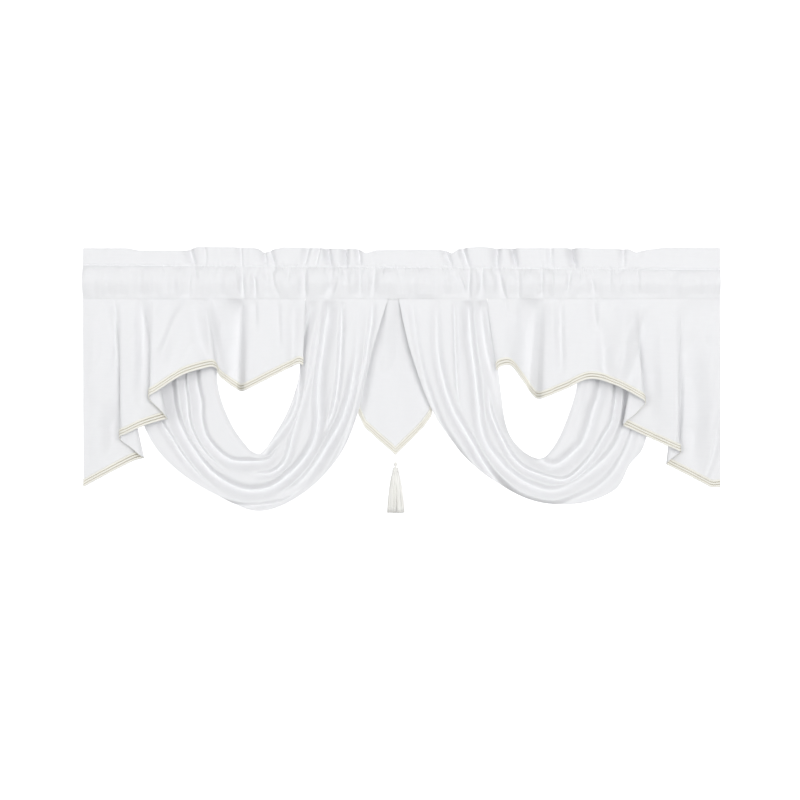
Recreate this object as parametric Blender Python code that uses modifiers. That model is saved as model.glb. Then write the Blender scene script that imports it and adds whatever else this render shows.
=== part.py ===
"""A gathered window valance: rod-pocket heading, two jabots, two swags and a pointed centre panel.

The valance hangs face on in the XZ plane: +X to the right, +Z up, and its face looks along -Y.
The origin is the middle of the heading's top edge. Tables are in millimetres; a drop is the
distance down from the top edge, and a depth (y) is measured from the plane of the sewing line.
"""

from collections import namedtuple
import math

import bmesh
import bpy
from mathutils import Vector

MM = 0.001
COLLECTION = "valance"

# Driving sizes, in millimetres
HALF_WIDTH = 684.0
SEAM_DROP_LEFT = 39.0
SEAM_DROP_RIGHT = 49.0
BASE_DROP = 111.0
CLOTH = 1.6
FIN = 3.0
HEM_HALF = 2.8
HEM_HEIGHT = 5.0
SEWN_GAP = 0.3
SEWN_OFFSET = 1.6
BRAID_WIDTH = 17.0
BRAID_THICK = 2.2

# The rod pocket: how far its walls stand out in the middle, and as shares of that where they
# round over near the upper seam and near the base
POCKET_FRONT = 14.0
POCKET_BACK = 12.0
POCKET_HIGH = 0.82
POCKET_LOW = 0.85
POCKET_SHOULDER = 11.0
POCKET_FOOT = 15.0
HOLLOW_TOP = 4.0
HOLLOW_FOOT = 8.0

# How much of a gather's depth is left half way down the header, at the seam and at the base,
# and how soon the hanging pieces lose it
MIDDLE_SHARE = 0.8
SEAM_SHARE = 0.3
BASE_SHARE = 0.35
GATHER_FADE = 45.0

# How the hanging cloth leaves the sewing line
TAB_DROP = 3.0
FOLD_OPENING = 0.7
SWAG_LAY = 18.0
PANEL_LAY = 60.0
PANEL_LAYBACK = 9.0
RIDGE = 4.0
SHARP_SIDE = 0.8
SOFT_SIDE = 1.3

EdgePoint = namedtuple("EdgePoint", "x drop")
Gather = namedtuple("Gather", "top_x seam_x base_x head_depth pocket_depth width")
Fold = namedtuple("Fold", "name top_x hem_x hem_drop hem_y")
Station = namedtuple("Station", "name inner_x inner_drop inner_y outer_x outer_drop outer_y")
Valley = namedtuple("Valley", "name start first bottom second end first_deep bottom_deep second_deep width")

# The heading's top edge rises and falls where the pocket is gathered.
TOP_EDGE = (
    EdgePoint(-684, 1), EdgePoint(-585, 1), EdgePoint(-564, 6), EdgePoint(-465, 6),
    EdgePoint(-440, -2), EdgePoint(-358, -1), EdgePoint(-309, 1), EdgePoint(-294, 10),
    EdgePoint(-277, 4), EdgePoint(-254, -1), EdgePoint(-153, 1), EdgePoint(-93, 2),
    EdgePoint(-76, 12), EdgePoint(-55, 5), EdgePoint(65, 4), EdgePoint(93, 5),
    EdgePoint(108, 12), EdgePoint(123, 2), EdgePoint(168, -3), EdgePoint(211, 1),
    EdgePoint(361, 0), EdgePoint(489, 3), EdgePoint(504, 10), EdgePoint(528, 4),
    EdgePoint(570, -1), EdgePoint(684, 0),
)

# Each gather of the heading leans a little from the top edge to the seam and the base.
GATHERS = (
    Gather(-557, -557, -560, 2, 1, 9),
    Gather(-455, -444, -450, 7, 2, 11),
    Gather(-343, -339, -337, 3, 5, 9),
    Gather(-311, -314, -312, 2, 4, 9),
    Gather(-294, -291, -288, 6, 2, 9),
    Gather(-284, -271, -262, 5, 3, 9),
    Gather(-198, -209, -214, 5, 4, 9),
    Gather(-159, -151, -157, 8, 5, 11),
    Gather(-118, -121, -114, 8, 3, 10),
    Gather(-93, -89, -87, 5, 3, 10),
    Gather(-59, -59, -63, 2, 5, 9),
    Gather(100, 112, 130, 6, 3, 11),
    Gather(129, 144, 145, 7, 5, 9),
    Gather(170, 174, 174, 2, 5, 9),
    Gather(209, 207, 218, 8, 4, 10),
    Gather(241, 251, 251, 7, 3, 10),
    Gather(296, 303, 305, 2, 4, 9),
    Gather(322, 322, 322, 4, 2, 9),
    Gather(371, 377, 388, 8, 2, 11),
    Gather(406, 410, 416, 2, 5, 11),
    Gather(478, 478, 480, 4, 2, 9),
    Gather(506, 508, 517, 3, 3, 11),
    Gather(611, 613, 611, 1, 2, 9),
)

# A jabot is a sheet of fold lines: each runs from the sewing line to its own place on the hem.
LEFT_JABOT = (
    Fold("outer_edge", -684, -682, 515, -2),
    Fold("a_body", -662, -637, 491, -7),
    Fold("a_right", -646, -581, 462, 0),
    Fold("a_turn_in", -635, -561, 455, 7),
    Fold("a_fold", -628, -552, 452, -2),
    Fold("a_turn_out", -621, -560, 446, -12),
    Fold("ab_return", -614, -580, 429, -15),
    Fold("b_fold_in", -607, -598, 416, -17),
    Fold("b_fold_out", -600, -600, 407, -26),
    Fold("b_start", -592, -588, 401, -29),
    Fold("b_body", -580, -551, 384, -21),
    Fold("b_turn_in", -566, -510, 371, -9),
    Fold("b_fold_right", -560, -500, 369, -17),
    Fold("b_turn_out", -554, -508, 356, -26),
    Fold("bc_return", -548, -522, 342, -28),
    Fold("c_fold_in", -541, -534, 330, -30),
    Fold("c_fold_out", -534, -536, 320, -39),
    Fold("c_start", -526, -524, 312, -42),
    Fold("c_body", -478, -468, 276, -28),
    Fold("c_right", -425, -414, 259, -22),
    Fold("c_edge", -418, -400, 260, -14),
    Fold("d_step", -412, -396, 269, -3),
    Fold("d_start", -403, -388, 281, 3),
    Fold("d_body", -373, -365, 299, 6),
    Fold("d_valley", -346, -347, 309, 5),
    Fold("e_rise", -340, -339, 309, -4),
    Fold("e_start", -333, -328, 305, -13),
    Fold("e_body", -281, -279, 280, -15),
    Fold("e_right", -234, -236, 258, -13),
    Fold("e_turn", -219, -220, 251, -10),
    Fold("inner_edge", -210, -212, 255, -6),
)

RIGHT_JABOT = (
    Fold("inner_edge", 187, 205, 266, -6),
    Fold("f_turn", 193, 213, 257, -11),
    Fold("f_body", 217, 236, 256, -10),
    Fold("g_slope", 256, 262, 288, 0),
    Fold("g_valley", 299, 287, 321, 9),
    Fold("h_rise", 306, 296, 326, 2),
    Fold("h_start", 314, 308, 323, -9),
    Fold("h_body", 343, 352, 305, -14),
    Fold("h_crest", 403, 401, 284, -18),
    Fold("h_right", 442, 453, 295, -17),
    Fold("h_turn_in", 488, 508, 323, -18),
    Fold("h_fold", 500, 521, 335, -10),
    Fold("h_turn_out", 507, 513, 346, -2),
    Fold("hj_return", 514, 500, 360, 1),
    Fold("j_fold_in", 521, 480, 376, 4),
    Fold("j_fold_out", 528, 478, 384, 13),
    Fold("j_start", 536, 492, 390, 17),
    Fold("j_body", 556, 536, 411, 11),
    Fold("j_turn_in", 584, 588, 435, -5),
    Fold("j_fold_right", 595, 598, 441, 3),
    Fold("j_turn_out", 602, 589, 449, 10),
    Fold("k_fold_in", 608, 575, 460, 14),
    Fold("k_fold_out", 615, 572, 467, 23),
    Fold("k_start", 623, 585, 474, 26),
    Fold("k_body", 639, 624, 494, 13),
    Fold("k_right", 656, 654, 510, 4),
    Fold("k_corner", 667, 667, 516, 0),
    Fold("outer_edge", 684, 684, 515, -3),
)

# A swag is a scarf of cloth: stations along its run give its inner (upper) and outer (lower) edge.
LEFT_SWAG = (
    Station("hidden_top", -388, 111, 14, -530, 111, 12),
    Station("hidden_arm", -397, 211, 20, -557, 221, 18),
    Station("arm", -394, 303, 24, -566, 328, 22),
    Station("elbow", -367, 378, 22, -542, 410, 20),
    Station("lower", -333, 427, 14, -483, 478, 6),
    Station("bottom_left", -314, 442, 6, -397, 532, -4),
    Station("bottom", -299, 440, 2, -303, 566, -9),
    Station("bottom_right", -277, 410, 2, -211, 528, -10),
    Station("rise", -245, 352, 4, -138, 455, -10),
    Station("gathered_arm", -222, 281, 6, -95, 361, -10),
    Station("upper_arm", -219, 196, 9, -62, 221, -8),
    Station("gathered_top", -206, 111, 7, -29, 111, -5),
)

RIGHT_SWAG = (
    Station("gathered_top", 183, 111, 7, -6, 111, -5),
    Station("upper_arm", 201, 196, 9, 16, 211, -8),
    Station("gathered_arm", 213, 303, 6, 56, 328, -9),
    Station("fall", 228, 391, 5, 97, 401, -10),
    Station("bottom_left", 258, 435, 3, 164, 476, -10),
    Station("bottom", 296, 454, 3, 271, 540, -10),
    Station("bottom_right", 320, 438, 6, 371, 551, -8),
    Station("lower", 343, 401, 14, 457, 523, 8),
    Station("elbow", 362, 352, 22, 493, 468, 27),
    Station("arm", 376, 303, 26, 528, 418, 35),
    Station("hidden_arm", 391, 211, 22, 542, 286, 32),
    Station("hidden_top", 399, 111, 14, 549, 111, 16),
)

# Valleys between a swag's folds: their place across the scarf (0 inner, 1 outer) at five
# stations, their depth at three, and their width as a share of the scarf.
LEFT_VALLEY_STATIONS = (0, 3, 6, 9, 11)
LEFT_VALLEYS = (
    Valley("inner_turn", 0.08, 0.07, 0.05, 0.05, 0.06, 4, 4, 1, 0.05),
    Valley("upper_pull", 0.28, 0.30, 0.21, 0.13, 0.10, 8, 9, 4, 0.06),
    Valley("middle_pull", 0.46, 0.47, 0.42, 0.22, 0.15, 8, 4, 1, 0.06),
    Valley("main_valley", 0.63, 0.62, 0.63, 0.34, 0.24, 11, 12, 12, 0.07),
    Valley("lower_pull", 0.74, 0.77, 0.78, 0.56, 0.40, 5, 5, 9, 0.05),
    Valley("gathered_pull", 0.82, 0.86, 0.87, 0.76, 0.58, 4, 5, 12, 0.055),
    Valley("outer_pull", 0.92, 0.94, 0.95, 0.92, 0.79, 3, 3, 7, 0.05),
)

RIGHT_VALLEY_STATIONS = (0, 2, 5, 8, 11)
RIGHT_VALLEYS = (
    Valley("inner_turn", 0.03, 0.06, 0.14, 0.24, 0.22, 3, 6, 10, 0.055),
    Valley("tip_valley", 0.08, 0.17, 0.36, 0.38, 0.36, 7, 6, 7, 0.06),
    Valley("main_valley", 0.21, 0.31, 0.58, 0.53, 0.50, 12, 11, 9, 0.075),
    Valley("thin_pull", 0.35, 0.50, 0.78, 0.67, 0.64, 5, 8, 8, 0.05),
    Valley("outer_pull", 0.52, 0.73, 0.92, 0.82, 0.80, 11, 5, 7, 0.06),
    Valley("edge_pull", 0.76, 0.88, 0.97, 0.93, 0.92, 8, 3, 4, 0.05),
)

# The centre panel's lower outline, from its left side over the point to its right side.
PANEL_HEM = (
    EdgePoint(-95, 337), EdgePoint(-91, 361), EdgePoint(-78, 388), EdgePoint(-46, 417),
    EdgePoint(-13, 446), EdgePoint(18, 416), EdgePoint(46, 388), EdgePoint(62, 365),
    EdgePoint(66, 337), EdgePoint(70, 337),
)

PANEL_TIP = 4

# The tassel, turned about the vertical line under the panel's point.
TASSEL_X = -12.6
TASSEL_SIDES = 14
TASSEL_HEAD_BOTTOM = 486.0
TASSEL_HEAD_RADIUS = 6.4
TASSEL_LOOP_RADIUS = 1.4
TASSEL_RINGS = (1.8, 1.8, 1.6)
TASSEL_INSET = 0.22
SkirtStep = namedtuple("SkirtStep", "drop spread grow")
SKIRT_STEPS = (SkirtStep(524, 2.1, 1.7), SkirtStep(572, 1.35, 1.25))
HeadRing = namedtuple("HeadRing", "drop radius")
HEAD_RINGS = (
    HeadRing(480, 6.6), HeadRing(475, 5.0), HeadRing(472, 2.0), HeadRing(470, 2.2),
    HeadRing(467.5, 3.6), HeadRing(465, 2.0), HeadRing(462, TASSEL_LOOP_RADIUS),
    HeadRing(437, TASSEL_LOOP_RADIUS),
)

SHARP_ANGLE = 40

# Where the meshes have their rows: 0 is the sewing line, 1 the braid's upper side, 2 the hem.
TAB = 0.012
SHEET_ROWS = (0, TAB, 0.2, 0.4, 0.6, 0.8, 1, 2)
BRAID_ROWS = (1, 2)
FOLD_SPLIT = 2
SWAG_TAB = 0.003
SWAG_ALONG = 33
SWAG_ACROSS = 15
GATHER_FOOT = 1.2
STATION_NEAR = 6.5
STATION_FAR = 30.0


def clear_scene():
    for thing in list(bpy.data.objects):
        bpy.data.objects.remove(thing)


def material(name, colour, roughness):
    """A plain cloth or thread material."""
    made = bpy.data.materials.new(name)
    made.use_nodes = True
    shader = made.node_tree.nodes["Principled BSDF"]
    shader.inputs["Base Color"].default_value = (*colour, 1.0)
    shader.inputs["Roughness"].default_value = roughness
    shader.inputs["Metallic"].default_value = 0.0
    return made


def through(values, place):
    """A smooth curve through evenly numbered values, read at a place between two of them."""
    last = len(values) - 1
    first = max(0, min(int(place), last - 1))
    part = place - first
    a, b, c, d = (values[min(max(k, 0), last)] for k in range(first - 1, first + 3))
    bend = 3 * (b - c) + d - a
    return b + 0.5 * part * (c - a + part * (2 * a - 5 * b + 4 * c - d + part * bend))


def along(points, x):
    """The drop at x on a line of edge points."""
    for near, far in zip(points, points[1:]):
        if x <= far.x:
            share = max(0.0, (x - near.x) / (far.x - near.x))
            return near.drop + (far.drop - near.drop) * share
    return points[-1].drop


def seam_drop(x):
    """The upper sewing line, a little lower at the right end than at the left."""
    share = (x + HALF_WIDTH) / (2 * HALF_WIDTH)
    return SEAM_DROP_LEFT + (SEAM_DROP_RIGHT - SEAM_DROP_LEFT) * share


def lean(x, level):
    """How far a gather line at seam place x has moved sideways at the top (0) or base (2)."""
    places = [-HALF_WIDTH] + [g.seam_x for g in GATHERS] + [HALF_WIDTH]
    moves = [0.0] + [(g.top_x, g.seam_x, g.base_x)[level] - g.seam_x for g in GATHERS] + [0.0]
    for near in range(len(places) - 1):
        if x <= places[near + 1]:
            share = (x - places[near]) / (places[near + 1] - places[near])
            return moves[near] + (moves[near + 1] - moves[near]) * share
    return 0.0


def gather_depth(x, column):
    """How far the gathers push the cloth back at seam place x."""
    return sum(getattr(g, column) * math.exp(-((x - g.seam_x) / g.width) ** 2) for g in GATHERS)


def base_gather(x):
    """The gathers where the lower pieces are sewn on, by place along the base."""
    depth = sum(g.pocket_depth * math.exp(-((x - g.base_x) / g.width) ** 2) for g in GATHERS)
    return BASE_SHARE * depth


def point(x, y, drop):
    return Vector((x, y, -drop)) * MM


def heading_section(x):
    """One upright section: the header fin, then the pocket's outer and inner wall."""
    top_x = x + lean(x, 0)
    base_x = x + lean(x, 2)
    head = gather_depth(x, "head_depth")
    pocket = gather_depth(x, "pocket_depth")
    foot = base_gather(base_x)
    top = along(TOP_EDGE, top_x)
    seam = seam_drop(x)
    fin = FIN / 2
    high = seam + POCKET_SHOULDER
    middle = (seam + BASE_DROP) / 2
    low = BASE_DROP - POCKET_FOOT
    hem = BASE_DROP - HEM_HEIGHT
    half = (top + seam) / 2
    mid_x = (top_x + x) / 2
    low_x = (x + base_x) / 2
    front = POCKET_FRONT - CLOTH
    back = POCKET_BACK - CLOTH
    return (
        point(top_x, head - fin, top),
        point(mid_x, MIDDLE_SHARE * head - fin, half),
        point(x, SEAM_SHARE * head - fin, seam),
        point(x, pocket - POCKET_HIGH * POCKET_FRONT, high),
        point(low_x, pocket - POCKET_FRONT, middle),
        point(low_x, pocket - POCKET_LOW * POCKET_FRONT, low),
        point(base_x, foot - HEM_HALF, hem),
        point(base_x, foot - HEM_HALF, BASE_DROP),
        point(base_x, foot + HEM_HALF, BASE_DROP),
        point(base_x, foot + HEM_HALF, hem),
        point(low_x, POCKET_LOW * POCKET_BACK, low),
        point(low_x, POCKET_BACK, middle),
        point(x, POCKET_HIGH * POCKET_BACK, high),
        point(x, SEAM_SHARE * head + fin, seam),
        point(mid_x, MIDDLE_SHARE * head + fin, half),
        point(top_x, head + fin, top),
        point(x, SEAM_SHARE * head, seam + HOLLOW_TOP),
        point(x, pocket - POCKET_HIGH * front, high + 1),
        point(low_x, pocket - front, middle),
        point(low_x, pocket - POCKET_LOW * front, low - 1),
        point(base_x, foot, BASE_DROP - HOLLOW_FOOT),
        point(low_x, POCKET_LOW * back, low - 1),
        point(low_x, back, middle),
        point(x, POCKET_HIGH * back, high + 1),
    )


OUTER_LOOP = tuple(range(16))
INNER_LOOP = tuple(range(16, 24))
HEADING_END_FACES = (
    (0, 1, 14, 15), (1, 2, 13, 14), (2, 16, 13), (2, 3, 17, 16), (3, 4, 18, 17),
    (4, 5, 19, 18), (5, 6, 20, 19), (6, 9, 20), (6, 7, 8, 9), (9, 10, 21, 20),
    (10, 11, 22, 21), (11, 12, 23, 22), (12, 13, 16, 23),
)


def heading_places():
    """Section places: three on each gather, and fillers where the cloth is flat."""
    wanted = {-HALF_WIDTH, HALF_WIDTH}
    for gather in GATHERS:
        foot = GATHER_FOOT * gather.width
        wanted.update((gather.seam_x - foot, gather.seam_x, gather.seam_x + foot))
    crests = {gather.seam_x for gather in GATHERS}
    kept = []
    for place in sorted(wanted):
        if kept and place - kept[-1] < STATION_NEAR:
            if place in crests and len(kept) > 1:
                kept[-1] = place
            continue
        kept.append(place)
    filled = []
    for near, far in zip(kept, kept[1:]):
        steps = max(1, math.ceil((far - near) / STATION_FAR))
        filled += [near + (far - near) * step / steps for step in range(steps)]
    return filled + [HALF_WIDTH]


def finish(name, mesh, look):
    """Puts a bmesh in the scene as a named object with its material."""
    data = bpy.data.meshes.new(name)
    mesh.to_mesh(data)
    mesh.free()
    data.shade_smooth()
    data.set_sharp_from_angle(angle=math.radians(SHARP_ANGLE))
    data.materials.append(look)
    made = bpy.data.objects.new(name, data)
    bpy.data.collections[COLLECTION].objects.link(made)
    return made


def heading(look):
    """The strip folded into a header ruffle and a rod pocket, lofted from section to section."""
    mesh = bmesh.new()
    rows = [[mesh.verts.new(spot) for spot in heading_section(x)] for x in heading_places()]
    for loop in (OUTER_LOOP, INNER_LOOP):
        for near, far in zip(rows, rows[1:]):
            for here, there in zip(loop, loop[1:] + loop[:1]):
                mesh.faces.new((near[here], near[there], far[there], far[here]))
    for row in (rows[0], rows[-1]):
        for face in HEADING_END_FACES:
            mesh.faces.new([row[corner] for corner in face])
    bmesh.ops.recalc_face_normals(mesh, faces=mesh.faces)
    finish("heading", mesh, look)


def even(steps, low=0.0, high=1.0):
    """Evenly spaced places from low to high."""
    return [low + (high - low) * step / steps for step in range(steps + 1)]


def cloth(name, columns, rows, place, look, thickness=CLOTH, lift=0.0):
    """A sheet: a grid laid on place(u, v), lifted off it if sewn on, then given its thickness."""
    mesh = bmesh.new()
    across = len(columns) - 1
    down = len(rows) - 1
    bmesh.ops.create_grid(mesh, x_segments=across, y_segments=down, size=0.5)
    for vert in mesh.verts:
        column = round((vert.co.x + 0.5) * across)
        row = round((0.5 - vert.co.y) * down)
        vert.co = place(columns[column], rows[row])
    mesh.normal_update()
    for vert in mesh.verts:
        vert.co += vert.normal * lift * MM
    made = finish(name, mesh, look)
    wall = made.modifiers.new("cloth thickness", "SOLIDIFY")
    wall.thickness = thickness * MM
    wall.offset = 0.0


def braid(name, columns, place, look):
    """A flat braid on the face of a sheet, over the band of its hem."""
    lift = (CLOTH + BRAID_THICK) / 2 + SEWN_GAP
    cloth(name, columns, BRAID_ROWS, place, look, BRAID_THICK, lift)


def drop_on_sheet(hem_drop, v):
    """The drop at row v of a sheet that hangs from the sewing line to hem_drop."""
    top = BASE_DROP + SEWN_GAP
    braid_top = hem_drop - BRAID_WIDTH
    if v <= 1:
        return top + (braid_top - top) * v
    return braid_top + BRAID_WIDTH * (v - 1)


def hanging_gather(x, drop):
    """The sewing line's gathers, dying away down a hanging piece."""
    return base_gather(x) * math.exp(-(drop - BASE_DROP) / GATHER_FADE)


def jabot_place(folds):
    """The sheet of one jabot: u runs along the hem, v from the sewing line down to the hem."""
    last = len(folds) - 1

    def place(u, v):
        top_x, hem_x, hem_drop, hem_y = (
            through([getattr(fold, column) for fold in folds], u * last) for column in Fold._fields[1:]
        )
        drop = drop_on_sheet(hem_drop, v)
        share = (drop - BASE_DROP - SEWN_GAP) / (hem_drop - BASE_DROP - SEWN_GAP)
        opened = max(0.0, share - TAB) ** FOLD_OPENING
        y = -SEWN_OFFSET + hanging_gather(top_x, drop) + (hem_y + SEWN_OFFSET) * opened
        return point(top_x + (hem_x - top_x) * share, y, drop)

    return place


def swag_place(stations, valleys, valley_stations, sewn):
    """The scarf of one swag: u runs along it from left to right, v across it, inner to outer."""
    last = len(stations) - 1

    def level(values, spot):
        """A valley's value at a place among the stations."""
        for index, (near, far) in enumerate(zip(valley_stations, valley_stations[1:])):
            if spot <= far:
                return through(values, index + (spot - near) / (far - near))
        return values[-1]

    def place(u, v):
        spot = u * last
        edges = [through([getattr(s, column) for s in stations], spot) for column in Station._fields[1:]]
        x, drop, y = Vector(edges[0:3]).lerp(Vector(edges[3:6]), v)
        drop = max(drop, BASE_DROP) + SEWN_GAP
        hung = max(0.0, drop - BASE_DROP - SEWN_GAP - TAB_DROP)
        folds = -RIDGE
        for valley in valleys:
            depths = (valley.first_deep, valley.first_deep, valley.bottom_deep,
                      valley.second_deep, valley.second_deep)
            side = (v - level(valley[1:6], spot)) / valley.width
            folds += level(depths, spot) * math.exp(-(side / (SHARP_SIDE if side < 0 else SOFT_SIDE)) ** 2)
        start = sewn[0] if u < 0.5 else sewn[1]
        y = start + (y + folds - start) * (1 - math.exp(-hung / SWAG_LAY))
        return point(x, y + hanging_gather(x, drop), drop)

    return place


def panel_place(u, v):
    """The centre panel: u runs along its lower outline, v from the sewing line down to it."""
    spot = u * (len(PANEL_HEM) - 1)
    near = min(int(spot), len(PANEL_HEM) - 2)
    x, hem = Vector(PANEL_HEM[near]).lerp(Vector(PANEL_HEM[near + 1]), spot - near)
    drop = drop_on_sheet(hem, v)
    hung = max(0.0, drop - BASE_DROP - SEWN_GAP - TAB_DROP)
    y = SEWN_OFFSET + PANEL_LAYBACK * (1 - math.exp(-hung / PANEL_LAY)) + hanging_gather(x, drop)
    return point(x, y, drop)


def tassel(look):
    """The tassel: a skirt of locks pulled down out of its head, and the loop it hangs by."""
    mesh = bmesh.new()
    bmesh.ops.create_circle(mesh, cap_ends=True, radius=TASSEL_HEAD_RADIUS * MM, segments=TASSEL_SIDES)
    middle = list(mesh.faces)
    locks = []
    for width in TASSEL_RINGS:
        inset = bmesh.ops.inset_region(mesh, faces=middle, thickness=width * MM, use_boundary=True)
        locks += inset["faces"]
    bmesh.ops.inset_individual(mesh, faces=locks, thickness=TASSEL_INSET * MM)
    place = Vector((TASSEL_X, tassel_y() / MM, 0)) * MM
    bmesh.ops.translate(mesh, verts=mesh.verts, vec=place + point(0, 0, TASSEL_HEAD_BOTTOM))
    for step in SKIRT_STEPS:
        locks = bmesh.ops.extrude_discrete_faces(mesh, faces=locks)["faces"]
        for face in locks:
            centre = face.calc_center_median()
            moved = place.lerp(centre, step.spread)
            moved.z = -step.drop * MM
            for vert in face.verts:
                vert.co = moved + (vert.co - centre) * step.grow
    rim = [edge for edge in mesh.edges if edge.is_boundary]
    for ring in HEAD_RINGS:
        grown = bmesh.ops.extrude_edge_only(mesh, edges=rim)["geom"]
        corners = {piece for piece in grown if isinstance(piece, bmesh.types.BMVert)}
        edges = [piece for piece in grown if isinstance(piece, bmesh.types.BMEdge)]
        rim = [edge for edge in edges if corners.issuperset(edge.verts)]
        for vert in corners:
            outward = Vector((vert.co.x - place.x, vert.co.y - place.y, 0)).normalized()
            vert.co = place + outward * ring.radius * MM + point(0, 0, ring.drop)
    bmesh.ops.edgeloop_fill(mesh, edges=rim)
    bmesh.ops.recalc_face_normals(mesh, faces=mesh.faces)
    finish("tassel", mesh, look)


def tassel_y():
    """The loop hangs just behind the panel's point."""
    tip = panel_place(PANEL_TIP / (len(PANEL_HEM) - 1), 2.0).y / MM
    return (tip + CLOTH / 2 + SEWN_GAP + TASSEL_LOOP_RADIUS) * MM


clear_scene()
bpy.context.scene.collection.children.link(bpy.data.collections.new(COLLECTION))

white_cloth = material("white cloth", (0.86, 0.86, 0.89), 0.55)
ivory_braid = material("ivory braid", (0.80, 0.75, 0.62), 0.6)
ivory_thread = material("ivory thread", (0.88, 0.86, 0.79), 0.5)

heading(white_cloth)

for side, folds in {"left": LEFT_JABOT, "right": RIGHT_JABOT}.items():
    columns = even((len(folds) - 1) * FOLD_SPLIT)
    cloth(f"jabot_{side}", columns, SHEET_ROWS, jabot_place(folds), white_cloth)
    braid(f"braid_{side}", columns, jabot_place(folds), ivory_braid)

swags = {
    "left": swag_place(LEFT_SWAG, LEFT_VALLEYS, LEFT_VALLEY_STATIONS, (SEWN_OFFSET, -SEWN_OFFSET)),
    "right": swag_place(RIGHT_SWAG, RIGHT_VALLEYS, RIGHT_VALLEY_STATIONS, (-SEWN_OFFSET, SEWN_OFFSET)),
}
swag_columns = [0.0] + even(SWAG_ALONG, SWAG_TAB, 1.0 - SWAG_TAB) + [1.0]
for side, sheet in swags.items():
    cloth(f"swag_{side}", swag_columns, even(SWAG_ACROSS), sheet, white_cloth)

panel_columns = even((len(PANEL_HEM) - 1) * FOLD_SPLIT)
cloth("centre_panel", panel_columns, SHEET_ROWS, panel_place, white_cloth)
braid("braid_centre", panel_columns, panel_place, ivory_braid)
tassel(ivory_thread)
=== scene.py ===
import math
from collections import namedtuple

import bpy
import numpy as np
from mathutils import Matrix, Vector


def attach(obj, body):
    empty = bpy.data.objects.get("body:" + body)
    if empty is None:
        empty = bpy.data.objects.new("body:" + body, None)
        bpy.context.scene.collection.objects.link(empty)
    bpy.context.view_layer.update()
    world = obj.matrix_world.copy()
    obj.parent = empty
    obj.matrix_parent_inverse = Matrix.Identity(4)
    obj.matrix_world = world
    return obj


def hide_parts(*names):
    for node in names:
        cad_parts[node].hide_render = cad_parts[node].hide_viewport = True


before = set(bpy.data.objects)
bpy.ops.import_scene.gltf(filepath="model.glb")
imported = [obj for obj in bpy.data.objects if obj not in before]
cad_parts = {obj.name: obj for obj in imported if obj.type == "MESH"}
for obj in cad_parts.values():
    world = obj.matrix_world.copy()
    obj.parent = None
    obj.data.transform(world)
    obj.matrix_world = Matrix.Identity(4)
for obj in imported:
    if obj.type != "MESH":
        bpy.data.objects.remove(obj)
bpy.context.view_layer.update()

# %% [markdown]
# A rod-pocket window valance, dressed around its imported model. The real thing is sewn from one light
# white cloth: a strip folded into a header ruffle and a pocket, two stepped side pieces called jabots,
# two scarves that hang as swags, and a pointed panel with a tassel. Every piece here follows the folds
# of its solid, with many more rows of mesh, so that thin creases and the braid's cords can be real
# shapes. Sizes are in millimetres: x to the right, drop down from the top edge, y away from the viewer.

MM = 0.001

# %% [markdown]
# The valance is seen straight on, from far enough away that nothing looks bent. A portrait lens does
# that: with 85 mm and a 36 mm frame, the picture is 1.712 m wide where the cloth hangs.

# %% The camera
LENS = 85.0
FRAME_WIDTH = 36.0
PICTURE_WIDTH = 1.712
CLOTH_FRONT = -0.012
VIEW_X = -0.0032
VIEW_Z = -0.3285
FARTHEST = 60.0

lens = bpy.data.cameras.new("camera")
lens.type = "PERSP"
lens.lens = LENS
lens.sensor_width = FRAME_WIDTH
lens.clip_end = FARTHEST
camera = bpy.data.objects.new("camera", lens)
distance = PICTURE_WIDTH * LENS / FRAME_WIDTH
camera.location = (VIEW_X, CLOTH_FRONT - distance, VIEW_Z)
camera.rotation_euler = (math.radians(90), 0, 0)
bpy.context.scene.collection.objects.link(camera)
bpy.context.scene.camera = camera
print("the camera stands", round(distance, 3), "m from the cloth")

# %% [markdown]
# White cloth on white paper needs light from everywhere, or the folds turn grey. The studio is a pale
# sweep of paper, floor and background in one, under an even sky. One large soft lamp stands in front and
# above on the right, so that each fold still has a lighter and a darker side, a weaker one fills the
# shadows from the left, and a third lights the cloth's back for the views from behind.

# %% The paper sweep
FLOOR = -1.4
SWEEP_BEND = 1.5
SWEEP_BACK = 6.5
SWEEP_FRONT = -7.0
SWEEP_SIDE = 8.0
SWEEP_TOP = 6.0


def select_none():
    """Leaves nothing selected, because an operator acts on all that is."""
    bpy.ops.object.select_all(action="DESELECT")


def sweep_profile():
    """The paper's side view: flat floor, a quarter circle, then straight up."""
    bend = [math.radians(angle) for angle in range(0, 91, 6)]
    corner = [(SWEEP_BACK - SWEEP_BEND + SWEEP_BEND * math.sin(a), FLOOR + SWEEP_BEND * (1 - math.cos(a)))
              for a in bend]
    return [(SWEEP_FRONT, FLOOR)] + corner + [(SWEEP_BACK, SWEEP_TOP)]


select_none()
profile = sweep_profile()
bpy.ops.mesh.primitive_grid_add(x_subdivisions=1, y_subdivisions=len(profile) - 1, size=1)
sweep = bpy.context.object
sweep.name = "paper_sweep"
for vert in sweep.data.vertices:
    y, z = profile[round((vert.co.y + 0.5) * (len(profile) - 1))]
    vert.co = (vert.co.x * 2 * SWEEP_SIDE, y, z)
sweep.data.shade_smooth()
print("the paper sweep has", len(sweep.data.polygons), "faces")

# %% The light
SKY = 0.5
SKY_COLOUR = (0.985, 0.99, 1.0)
AIM = Vector((0.0, 0.0, -0.3))
Lamp = namedtuple("Lamp", "name place size watts")
LAMPS = (
    Lamp("key", (2.6, -9.2, 0.7), 5.5, 386.0),
    Lamp("fill", (-4.8, -8.2, 0.0), 5.0, 191.0),
    Lamp("back", (3.8, 4.4, 1.2), 3.0, 150.0),
)

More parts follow.
